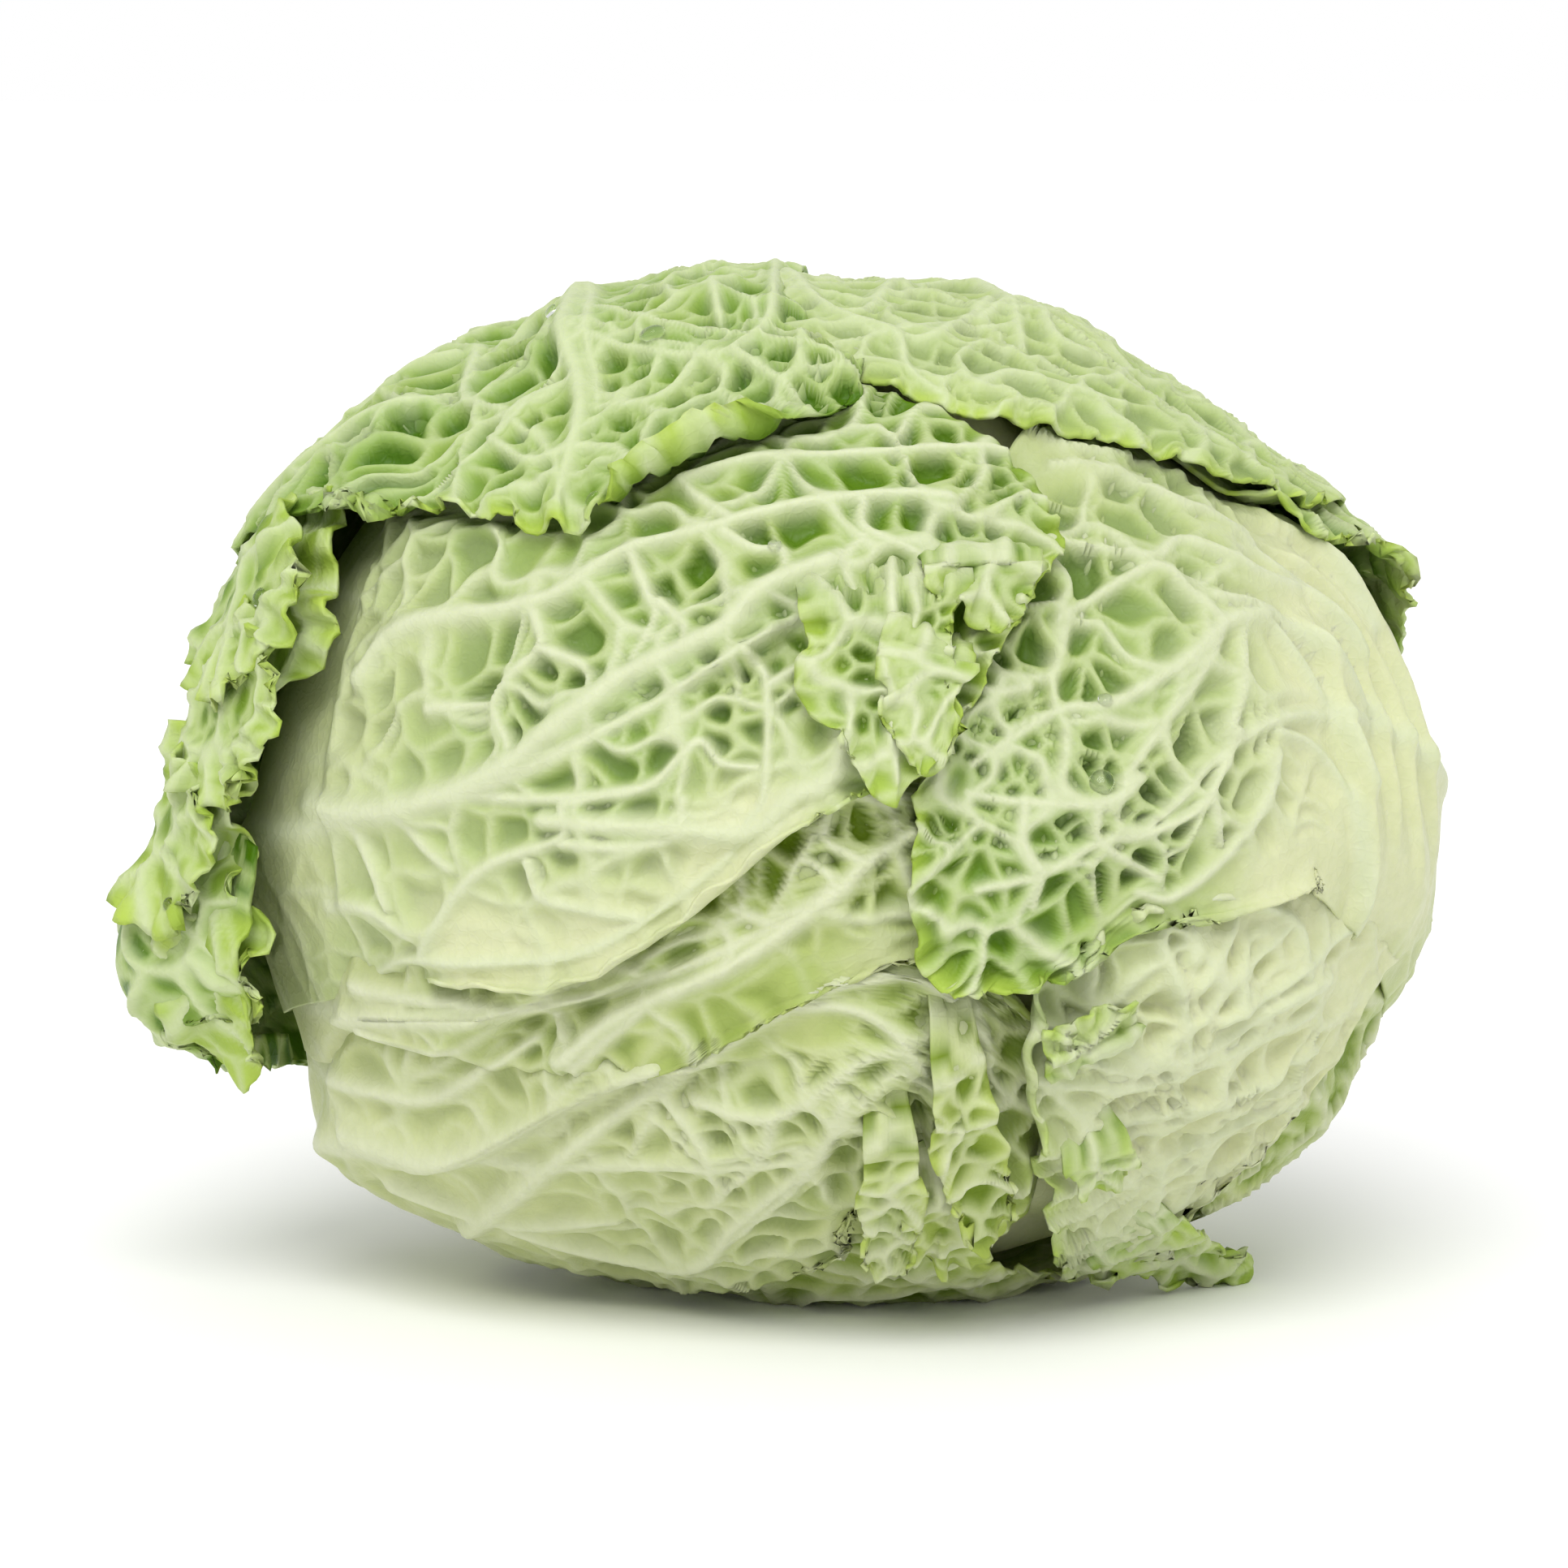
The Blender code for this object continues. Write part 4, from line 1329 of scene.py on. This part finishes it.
# From the innermost to the outermost, as in the part.
LEAVES = [
    LeafShape(
        "left_under_leaf", slot=Slot.PALE, cell=9.0, depth=0.8, laterals=4, spacing=1.9,
        midrib=[(-105, 115), (-112, 85), (-118, 62), (-128, 40)], left=[24, 30, 36, 40, 40, 34],
        right=[24, 30, 36, 40, 40, 34],
    ),
    LeafShape(
        "right_under_leaf", slot=Slot.PALE, cell=9.0, depth=0.8, laterals=4, spacing=1.9,
        midrib=[(110, 115), (106, 85), (110, 60), (125, 40)], left=[24, 32, 36, 38, 38, 34],
        right=[24, 34, 42, 46, 46, 36],
    ),
    LeafShape(
        "bottom_leaf", slot=Slot.PALE, room=2.8, cell=8.0, depth=1.0, laterals=5, spacing=1.5,
        midrib=[(-165, 125), (-168, 95), (-175, 72), (172, 52)], left=[26, 36, 44, 48, 46, 36],
        right=[26, 36, 44, 48, 46, 36], frills=[Frill(0.3, 0.7, 9.0, 0.8, 6.0)],
    ),
    LeafShape(
        "lower_left_leaf", slot=Slot.PALE, cell=6.5, depth=1.8,
        midrib=[
            (-122, 115), (-123, 82), (-129, 66), (-140, 52), (-157, 40), (178, 35), (164, 41), (157, 51),
        ],
        left=[20, 20, 20, 20, 20, 23, 27, 31, 36, 38], right=[20, 24, 24, 22, 20, 22, 30, 28, 26, 24],
        flares=[Bump(-122, 88, 3.6, 9)],
        veins=[
            Vein(
                [(-138, 72), (-139, 50), (-144, 30), (-161, 17), (179, 14), (154, 16), (147, 26)],
                1.9, 2.2, 0.6,
            ),
            Vein([(-161, 18), (-176, 17), (171, 19), (162, 26)]),
            Vein([(-149, 34), (-164, 31), (178, 23), (166, 22)]),
            Vein([(-178, 27), (-173, 37), (-165, 50), (-160, 61)]),
            Vein([(-144, 36), (-154, 38), (-158, 42)]), Vein([(-164, 31), (-164, 36), (-160, 45)]),
            Vein([(-124, 74), (-131, 62), (-134, 46), (-139, 33)], 2.6, 2.4, 0.8),
            Vein([(-130, 74), (-142, 65), (-150, 58)], 2.2, 1.9, 0.5),
            Vein([(156, 26), (157, 36), (158, 41)]),
            Vein([(-114, 80), (-118, 74), (-121, 67), (-124, 60), (-124, 53), (-122, 47)], 1.8, 1.5, 0.7),
            Vein([(-141, 67), (-152, 66), (-161, 60), (-164, 48), (-173, 36), (-178, 30)], 1.7, 1.5, 0.7),
        ],
        tucks=[
            Tuck(
                [(-178, 21), (-153, 27), (-139, 35), (-134, 44), (-133, 54), (-131, 65), (-125, 88)],
                2.4, 2.4, 3.6,
            ),
            Tuck([(177, 45), (179, 41), (178, 36), (177, 31)], 2.0, 1.2, 4.0),
            Tuck([(166, 24), (169, 32), (170, 39), (169, 47)], 2.4, 1.6, 5.0),
            Tuck([(164, 50), (166, 41), (166, 34), (163, 26)], 2.4, 1.6, 5.0),
        ],
        smooth=[
            Bump(-135, 75, 0.75, 25), Bump(-142, 22, 0.8, 5), Bump(-152, 19, 0.8, 5),
            Bump(-166, 17, 0.8, 5), Bump(-179, 48, 0.9, 5),
        ],
        pale=[Bump(-135, 75, 0.6, 34), Bump(-165, 42, 0.25, 30)],
        frills=[Frill(0.5, 0.585, 10.0, 1.5, 7.0)], reaches=[Reach(0.57, 0.68, 5.0)],
    ),
    LeafShape(
        "left_middle_leaf", slot=Slot.PALE, cell=7.6, spacing=0.8,
        midrib=[
            (-106, 120), (-109, 88), (-112, 67), (-116, 49), (-123, 30), (-128, 15), (160, 5), (110, 13),
            (104, 23),
        ],
        left=[22, 24, 26, 26, 26, 26, 26, 26, 26, 28], right=[14, 10, 8, 7, 6, 6, 10, 11, 12, 24],
        veins=[
            Vein([(-128, 40), (-127, 30), (-134, 18), (-152, 6), (151, 2), (77, 7)], 2.0, 2.2, 0.7),
            Vein([(151, 2), (-154, 1), (-74, 3), (-27, 6)], 1.2, 1.0, 0.6),
            Vein([(-142, 10), (-136, 11), (-117, 14)]), Vein([(-134, 18), (-129, 16), (-119, 16)]),
            Vein([(-139, 9), (-149, 4), (-102, 5)]),
            Vein([(-117, 71), (-120, 64), (-124, 55), (-123, 42)], 1.2, 1.0, 0.8),
            Vein([(-119, 39), (-129, 39), (-134, 44), (-133, 48)]), Vein([(-130, 40), (-129, 28)]),
            Vein([(-109, 62), (-112, 54), (-115, 46), (-119, 40)]),
            Vein([(-114, 64), (-118, 58), (-120, 51)]),
        ],
        tucks=[
            Tuck([(-112, 18), (-116, 31), (-118, 44), (-121, 61)], 1.8, 3.0, 3.2),
            Tuck([(-122, 20), (-122, 31), (-120, 43), (-122, 54)], 2.2, 2.4, 3.0),
        ],
        smooth=[
            Bump(-120, 75, 1.0, 25), Bump(140, 16, 0.8, 4), Bump(171, 12, 0.8, 4), Bump(-161, 13, 0.8, 4),
            Bump(-139, 32, 0.8, 3), Bump(-141, 22, 0.3, 5), Bump(-151, 19, 0.3, 5), Bump(-165, 17, 0.4, 5),
        ],
        pale=[Bump(-120, 75, 0.75, 30), Bump(140, 16, 0.6, 5), Bump(171, 12, 0.6, 5)],
        lifts=[Lift(0.66, 0.98, -7.0, 22.0)],
    ),
    LeafShape(
        "lower_right_leaf", slot=Slot.MIDDLE, cell=6.0,
        midrib=[(98, 120), (96, 85), (99, 68), (105, 58), (118, 45), (136, 33), (147, 29)],
        left=[18, 14, 12, 10, 9, 8, 9, 22, 66, 50], right=[22, 22, 22, 22, 20, 18, 16, 18, 25, 34],
        flares=[Bump(143, 97, 17.0, 14)],
        veins=[
            Vein([(109, 59), (113, 52), (121, 47), (130, 40), (136, 32)], 1.8, 1.5, 0.5),
            Vein([(116, 39), (108, 35), (101, 37), (100, 41), (102, 51), (109, 55)], 1.4, 1.2, 0.8),
            Vein([(110, 39), (102, 38)]), Vein([(114, 41), (106, 43), (101, 44)]),
            Vein([(115, 47), (110, 46), (103, 51)]), Vein([(125, 45), (115, 39)]),
            Vein([(143, 32), (137, 37), (129, 44), (120, 50), (113, 58)], 1.2, 1.0, 0.8),
            Vein([(142, 41), (136, 46), (129, 51), (117, 62)], 1.2, 1.0, 0.8),
            Vein([(148, 54), (139, 55), (129, 59), (123, 65)]), Vein([(148, 62), (140, 59), (132, 59)]),
            Vein([(138, 55), (145, 70), (141, 81)]),
        ],
        tucks=[
            Tuck([(103, 49), (100, 43), (104, 33), (118, 28)], 1.8, 1.2, 3.6),
            Tuck([(112, 50), (118, 47), (124, 45)], 1.6, 1.6, 3.4),
            Tuck([(114, 60), (122, 58), (130, 56), (138, 50)], 1.6, 1.4, 3.4),
        ],
        smooth=[Bump(110, 75, 0.8, 15), Bump(97, 51, 1.0, 6)],
        pale=[Bump(112, 66, 0.9, 26), Bump(128, 52, 0.8, 34)], frills=[Frill(0.39, 0.53, 9.0, 2.0, 7.0)],
        curls=[Curl(0.525, 0.575, 4.5, 190.0)], reaches=[Reach(0.48, 0.535, -3.0)],
    ),
    LeafShape(
        "right_wrapper_leaf", slot=Slot.MIDDLE, cell=6.4, depth=2.2, spacing=0.62,
        midrib=[(95, 110), (85, 75), (75, 52), (85, 32), (110, 20), (150, 15)],
        left=[18, 22, 24, 24, 24, 22, 20, 20, 14, 12], right=[20, 30, 40, 46, 50, 50, 48, 45, 42, 38],
        veins=[
            Vein([(63, 54), (61, 48), (62, 42), (62, 31), (57, 25), (55, 15)], 1.8, 1.5, 0.5),
            Vein([(63, 63), (58, 57), (49, 52), (48, 47), (43, 44), (35, 41)], 1.5, 1.3, 0.5),
            Vein([(61, 48), (55, 47), (49, 46), (46, 39), (43, 33)]),
            Vein([(73, 67), (62, 64), (52, 61), (44, 57), (36, 55), (29, 52)], 1.5, 1.4, 0.6),
            Vein([(72, 77), (61, 77), (54, 77), (48, 69), (41, 63), (31, 56), (23, 56)], 1.5, 1.4, 0.6),
            Vein([(79, 65), (72, 61), (63, 55), (57, 49)], 1.6, 1.5, 0.7),
            Vein([(86, 60), (78, 58), (69, 56), (63, 54)], 1.5, 1.4, 0.7),
            Vein([(109, 59), (105, 62), (94, 59), (86, 57), (80, 53), (77, 48)], 1.4, 1.2, 0.7),
            Vein([(75, 42), (69, 46), (62, 51)]), Vein([(61, 48), (66, 40), (70, 34), (77, 28)]),
            Vein([(80, 47), (85, 45), (91, 41), (100, 34), (100, 30)]),
            Vein([(75, 43), (84, 37), (88, 30), (89, 25), (98, 19), (108, 13)]),
            Vein([(77, 30), (80, 26), (75, 18), (65, 13)]), Vein([(80, 25), (89, 25), (97, 32)]),
            Vein([(75, 18), (88, 17), (98, 19), (108, 19)]), Vein([(84, 38), (91, 39)]),
            Vein([(48, 25), (42, 22), (28, 21)]),
        ],
        tucks=[
            Tuck([(104, 80), (89, 77), (75, 78), (59, 74), (45, 60)], 2.0, 1.2, 3.2),
            Tuck([(102, 72), (88, 70), (75, 72), (60, 67), (50, 55)], 2.3, 1.3, 3.4),
            Tuck([(99, 66), (85, 65), (72, 66), (62, 63)], 2.2, 1.2, 3.0),
            Tuck([(108, 60), (98, 60), (84, 58), (70, 59), (58, 56)], 2.6, 1.4, 3.4),
        ],
        smooth=[
            Bump(75, 85, 1.0, 28), Bump(86, 68, 0.8, 20), Bump(26, 55, 1.0, 8), Bump(101, 60, 0.9, 5),
            Bump(98, 52, 0.9, 5), Bump(99, 44, 0.9, 5), Bump(102, 36, 0.9, 4), Bump(110, 28, 0.7, 4),
        ],
        pale=[Bump(75, 85, 1.0, 34), Bump(85, 66, 0.9, 24), Bump(26, 55, 0.6, 9), Bump(99, 46, 0.5, 7)],
        bare=[Bump(32, 24, 1.0, 12)], frills=[Frill(0.44, 0.56, 7.0, 2.0, 7.0)],
        lifts=[Lift(0.44, 0.52, 2.0, 8.0), Lift(0.2, 0.34, -3.5, 16.0), Lift(0.34, 0.4, 1.0, 6.0)],
    ),
    LeafShape(
        "left_wrapper_leaf", slot=Slot.MIDDLE, cell=6.0, depth=2.2, spacing=0.6,
        midrib=[(-95, 110), (-92, 68), (-80, 36), (-45, 24), (10, 30), (34, 42)],
        left=[22, 30, 36, 36, 36, 36, 40, 44, 50, 50], right=[18, 18, 18, 18, 17, 17, 22, 22, 30, 30],
        veins=[
            Vein(
                [(-74, 59), (-67, 56), (-57, 45), (-50, 41), (-38, 40), (-23, 37), (2, 38), (16, 39)],
                2.3, 2.0, 0.55,
            ),
            Vein([(-26, 45), (-13, 44), (1, 44), (16, 46), (26, 49)]),
            Vein([(-21, 37), (-25, 42), (-26, 45)]),
            Vein(
                [(-89, 65), (-88, 51), (-80, 38), (-63, 31), (-52, 29), (-31, 26), (-20, 28), (-5, 30)],
                2.7, 2.6, 0.85,
            ),
            Vein([(-55, 42), (-59, 39), (-69, 41), (-75, 37)]), Vein([(-59, 39), (-57, 34), (-59, 32)]),
            Vein([(-74, 48), (-70, 41)]), Vein([(-38, 40), (-40, 34), (-41, 32), (-50, 30)]),
            Vein([(-39, 33), (-38, 29), (-41, 27)]), Vein([(-23, 36), (-19, 33), (-14, 32), (-14, 30)]),
            Vein([(-3, 31), (1, 25), (4, 20)], 1.2, 1.1, 0.5),
            Vein([(2, 38), (2, 34), (14, 31), (17, 28)]), Vein([(-3, 30), (2, 33)]),
            Vein([(-82, 30), (-74, 22), (-63, 20), (-55, 19), (-57, 16), (-50, 13)], 1.2, 1.0, 0.6),
            Vein([(-84, 43), (-82, 32), (-74, 22)]),
            Vein([(-29, 23), (-28, 19), (-55, 11), (-78, 11)], 1.3, 1.2, 0.5),
            Vein([(-28, 19), (-12, 20)]), Vein([(-83, 30), (-89, 30), (-94, 38), (-99, 43), (-107, 50)]),
            Vein([(-88, 49), (-92, 46), (-95, 43)]), Vein([(-90, 30), (-90, 23), (-86, 18), (-74, 18)]),
            Vein([(-89, 56), (-96, 53), (-100, 52)]), Vein([(-100, 63), (-100, 55), (-104, 50)]),
            Vein([(-94, 34), (-100, 33), (-104, 28), (-109, 23)]),
            Vein([(0, 15), (-15, 8), (-48, 8), (-82, 11), (-84, 20), (-86, 32)], 2.4, 1.8, 0.8),
            Vein(
                [(-113, 72), (-108, 57), (-107, 51), (-109, 43), (-112, 29), (-98, 14), (-71, 11)],
                1.3, 1.1, 0.6,
            ),
        ],
        tucks=[Tuck([(-5, 26), (-17, 24), (-27, 22), (-41, 23), (-57, 26)], 0.8, 2.6, 4.0)],
        smooth=[
            Bump(-85, 82, 1.0, 30), Bump(-109, 42, 0.9, 8), Bump(-112, 27, 0.9, 7), Bump(-103, 13, 0.9, 6),
            Bump(-70, 8, 0.8, 7),
        ],
        pale=[
            Bump(-85, 82, 1.0, 36), Bump(-109, 42, 0.9, 9), Bump(-112, 27, 0.9, 8), Bump(-103, 13, 0.9, 8),
            Bump(-70, 8, 0.8, 8),
        ],
        bare=[Bump(-98, 76, 1.0, 14), Bump(-27, 42, 1.0, 5), Bump(-17, 43, 1.0, 5), Bump(-7, 45, 1.0, 5)],
        frills=[Frill(0.42, 0.56, 7.0, 1.6, 6.0)], curls=[Curl(0.57, 0.7, 2.6, 150.0)],
        lifts=[Lift(0.54, 0.66, 2.0, 9.0), Lift(0.7, 0.98, -7.0, 22.0)],
        reaches=[Reach(0.455, 0.54, -7.0)],
    ),
    LeafShape(
        "right_outer_leaf", cell=5.6, laterals=4, spacing=0.9,
        midrib=[(60, 135), (52, 108), (48, 88), (50, 72)], left=[22, 26, 26, 26, 26, 26],
        right=[22, 28, 32, 36, 38, 38], flares=[Bump(66, 88, 4.0, 10)],
        frills=[Frill(0.35, 0.7, 11.0, 1.2, 7.0)], reaches=[Reach(0.38, 0.47, 6.0)],
    ),
    LeafShape(
        "left_outer_leaf", room=4.0, cell=5.0, depth=1.8, puff=0.5, laterals=5, young=14.0, spacing=0.8,
        midrib=[(-100, 135), (-95, 105), (-90, 85), (-82, 58)],
        left=[22, 26, 32, 40, 48, 50, 52, 52, 52, 50], right=[22, 30, 34, 36, 38, 38, 38, 38, 38, 38],
        flares=[Bump(-80, 88, 5.0, 36), Bump(-104, 84, 12.0, 9)],
        frills=[Frill(0.25, 0.62, 12.0, 3.0, 14.0)], lifts=[Lift(0.36, 0.72, -5.0, 22.0)],
        reaches=[Reach(0.43, 0.62, -17.0), Reach(0.58, 0.84, -24.0)],
    ),
    LeafShape(
        "right_crown_leaf", depth=1.3, laterals=3, midrib=[(10, 130), (14, 105), (19, 80), (24, 55)],
        left=[22, 28, 34, 38, 42, 44, 46, 50, 54, 50], right=[22, 32, 40, 44, 46, 48, 50, 54, 56, 50],
        veins=[
            Vein([(-8, 94), (-3, 71), (5, 65), (7, 58), (12, 54)], 1.9, 1.6, 0.4),
            Vein([(6, 95), (2, 73), (-3, 71)]), Vein([(16, 83), (10, 66), (5, 65)]),
            Vein([(16, 57), (20, 62), (27, 64), (34, 67)]), Vein([(15, 76), (20, 87), (24, 76), (30, 77)]),
        ],
        pale=[Bump(15, 75, 0.45, 60)], frills=[Frill(0.3, 0.64, 9.0, 1.1, 6.0)],
        lifts=[Lift(0.28, 0.66, -1.6, 14.0)], reaches=[Reach(0.5, 0.63, 3.0)],
    ),
    LeafShape(
        "left_crown_leaf", depth=2.6, laterals=2,
        midrib=[(-35, 130), (-28, 95), (-29, 74), (-32, 58), (-40, 44)],
        left=[22, 26, 26, 26, 24, 22, 22, 27, 42, 28], right=[22, 34, 42, 44, 42, 40, 39, 37, 35, 26],
        veins=[
            Vein([(-29, 92), (-31, 76), (-33, 61), (-37, 54), (-42, 48)], 2.8, 2.4, 0.45),
            Vein([(-33, 66), (-39, 67), (-43, 65)]), Vein([(-41, 91), (-44, 78), (-41, 68)]),
            Vein([(-43, 91), (-50, 91)]), Vein([(-37, 54), (-42, 57), (-44, 65)]),
            Vein([(-8, 94), (-9, 67), (-13, 60), (-18, 60), (-26, 67), (-31, 76)], 1.4, 1.2, 0.7),
            Vein([(-18, 60), (-25, 56), (-32, 59)]), Vein([(-14, 59), (-9, 53), (-7, 49)]),
            Vein([(-36, 54), (-32, 51), (-31, 48)]), Vein([(-15, 77), (-15, 66)]),
            Vein([(-66, 89), (-53, 81), (-45, 80)]),
        ],
        smooth=[Bump(-59, 75, 0.7, 5)], frills=[Frill(0.45, 0.66, 8.0, 1.8, 7.0)],
        curls=[Curl(0.455, 0.53, 6.0, 200.0)], lifts=[Lift(0.2, 0.425, -3.0, 12.0)],
        reaches=[Reach(0.64, 0.76, 3.0)],
    ),
]


def outer_ruffle(part: str, midrib: Sequence[Point], width: float, stand: float) -> FlapShape:
    """One of the left outer leaf's ruffles, width degrees to each side at its ends and one more between."""
    widths = [width, width + 1.0, width]
    return FlapShape(
        f"left_outer_ruffle_{part}", midrib, widths, widths, cell=4.2, puff=0.5, young=9.0, spacing=0.6,
        stand=stand, frills=[Frill(0.12, 0.88, 6.5, 1.8, 6.0)],
        reaches=[Reach(0.2, 0.36, -1.5), Reach(0.38, 0.5, 1.5), Reach(0.6, 0.75, 1.5)],
    )


# Folds and ruffles of the margins, by the leaf they lie on.
FLAPS = {
    "left_wrapper_leaf": [
        FlapShape(
            "left_wrapper_fold", cell=4.6, depth=1.8, young=5.0, stand=3.4,
            midrib=[(4, 31), (8, 23), (13, 17), (22, 11), (36, 7)], left=[10, 9, 7.5, 6.5, 6],
            right=[9, 8, 8, 8, 7],
            veins=[
                Vein([(8, 30), (9, 24), (14, 19), (30, 20)], 1.3, 1.2, 0.5),
                Vein([(14, 19), (16, 13), (30, 8)]),
            ],
            frills=[Frill(0.1, 0.9, 10.0, 1.4, 6.0)],
            reaches=[
                Reach(0.12, 0.3, -3.0), Reach(0.32, 0.42, 2.0), Reach(0.42, 0.49, -2.0),
                Reach(0.5, 0.58, 2.0), Reach(0.58, 0.68, -3.5), Reach(0.7, 0.82, 2.0),
            ],
        ),
        FlapShape(
            "left_wrapper_crease", young=5.0, root=-5.0, stand=4.6,
            midrib=[(20, 27), (20, 21), (25, 15), (38, 11)], left=[4, 4.5, 4.5, 4], right=[3, 4.5, 5, 4],
            frills=[Frill(0.1, 0.9, 8.0, 1.3, 5.0)],
            reaches=[Reach(0.2, 0.35, -1.5), Reach(0.4, 0.5, 1.5), Reach(0.55, 0.7, -2.0)],
        ),
        FlapShape(
            "left_wrapper_lip", young=4.0, root=-5.0, midrib=[(20, 36), (25, 31), (28, 25)],
            left=[6, 6.5, 5], right=[6, 6, 6], frills=[Frill(0.15, 0.85, 6.5, 1.6, 5.0)],
            reaches=[Reach(0.2, 0.35, -2.0), Reach(0.4, 0.5, 1.5), Reach(0.6, 0.75, -2.0)],
        ),
    ],
    "lower_left_leaf": [
        FlapShape(
            "lower_left_strip", cell=4.6, depth=1.4, spacing=0.55, stand=2.8,
            midrib=[(174, 26), (174, 33), (174, 40), (175, 47), (176, 55)], left=[2.7, 3.2, 3.4, 3.2, 3.2],
            right=[1.6, 2.3, 3.4, 2.8, 3.2], frills=[Frill(0.15, 0.85, 8.0, 1.2, 4.0)],
        ),
        FlapShape(
            "lower_left_lobe", cell=4.5, depth=0.9, young=6.0, spacing=0.55, stand=1.6,
            midrib=[(166, 36), (166, 47), (166, 57)], left=[4, 5, 5], right=[4, 5, 5],
            frills=[Frill(0.15, 0.85, 7.0, 1.6, 6.0)],
        ),
        FlapShape(
            "lower_left_ribbon", cell=4.6, depth=1.4, spacing=0.55, stand=4.0,
            midrib=[(150, 18), (157, 25), (160, 34), (161, 43), (163, 51)], left=[3, 3.6, 3.6, 3.8, 3.4],
            right=[1.2, 2, 3.4, 3.2, 2.6], frills=[Frill(0.15, 0.85, 8.0, 1.2, 4.0)],
        ),
    ],
    "lower_right_leaf": [
        FlapShape(
            "lower_right_ruffle", depth=0.8, young=5.0, stand=3.5,
            midrib=[(133, 36), (130, 32), (126, 29)], left=[5, 5.5, 5.5], right=[5, 5.5, 5.5],
            frills=[Frill(0.15, 0.85, 5.5, 2.4, 6.0)],
        ),
        FlapShape(
            "lower_right_pocket", depth=0.8, spacing=0.55, stand=2.4,
            midrib=[(141, 40), (143, 45), (145, 50)], left=[3, 3.5, 3.5], right=[3, 3.5, 3.5],
            frills=[Frill(0.15, 0.85, 5.0, 1.2, 4.0)],
        ),
        FlapShape(
            "lower_right_tail", cell=4.4, depth=0.9, young=16.0, spacing=0.6, stand=1.0,
            midrib=[(148, 60), (146, 71), (144, 80), (141, 88)], left=[5, 5, 4, 3],
            right=[5, 5.5, 4.5, 3.5], frills=[Frill(0.12, 0.88, 8.0, 1.4, 5.0)],
        ),
    ],
    "left_outer_leaf": [
        FlapShape(
            "left_outer_tail", cell=6.0, depth=0.9, puff=0.4, young=20.0, spacing=0.7, stand=-2.0,
            midrib=[(-92, 71), (-98, 73), (-105, 75), (-111, 77), (-116, 79)],
            left=[4, 4.5, 4.5, 4.5, 3.5], right=[4, 4.5, 4.5, 4.5, 3.5],
            frills=[Frill(0.12, 0.88, 11.0, 1.6, 6.0)],
        ),
        outer_ruffle("upper", [(-69, 86), (-71, 75), (-73, 64)], 8.0, 2.6),
        outer_ruffle("middle", [(-79, 82), (-80, 72), (-82, 61)], 8.0, 2.2),
        outer_ruffle("lower", [(-90, 86), (-92, 78), (-94, 69)], 7.0, 2.6),
    ],
}

DROPS = [
    Drop(-23, 66, 2.0), Drop(-32, 80, 1.2), Drop(-38, 46, 1.3), Drop(-14, 32, 1.0), Drop(75, 26, 1.9),
    Drop(59, 30, 1.1), Drop(-70, 70, 1.5), Drop(-98, 74, 1.0),
]


def main() -> None:
    """Builds the leaves from the inside out, then the stem, the drops and the stage."""
    logging.basicConfig(level=logging.INFO, format="%(name)s %(message)s")
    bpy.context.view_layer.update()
    bpy.context.scene.view_settings.view_transform = "Standard"
    finishes = {finish.slot: finish.material() for finish in LEAF_FINISHES}
    layers = Layers(LEAVES)
    InnerLeaves().build(layers, finishes[Slot.HEART])
    sheets: list[LeafSheet] = []
    for index, shape in enumerate(LEAVES):
        for flap in (None, *FLAPS.get(shape.name, ())):
            sheets.append(LeafSheet(layers, index, flap))
            sheets[-1].build(finishes[shape.slot])
    Stem().build(StemFinish().material())
    WaterDrops(DROPS).build(sheets, WaterFinish().material())
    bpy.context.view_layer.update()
    Stage().build()


if __name__ == "__main__":
    main()
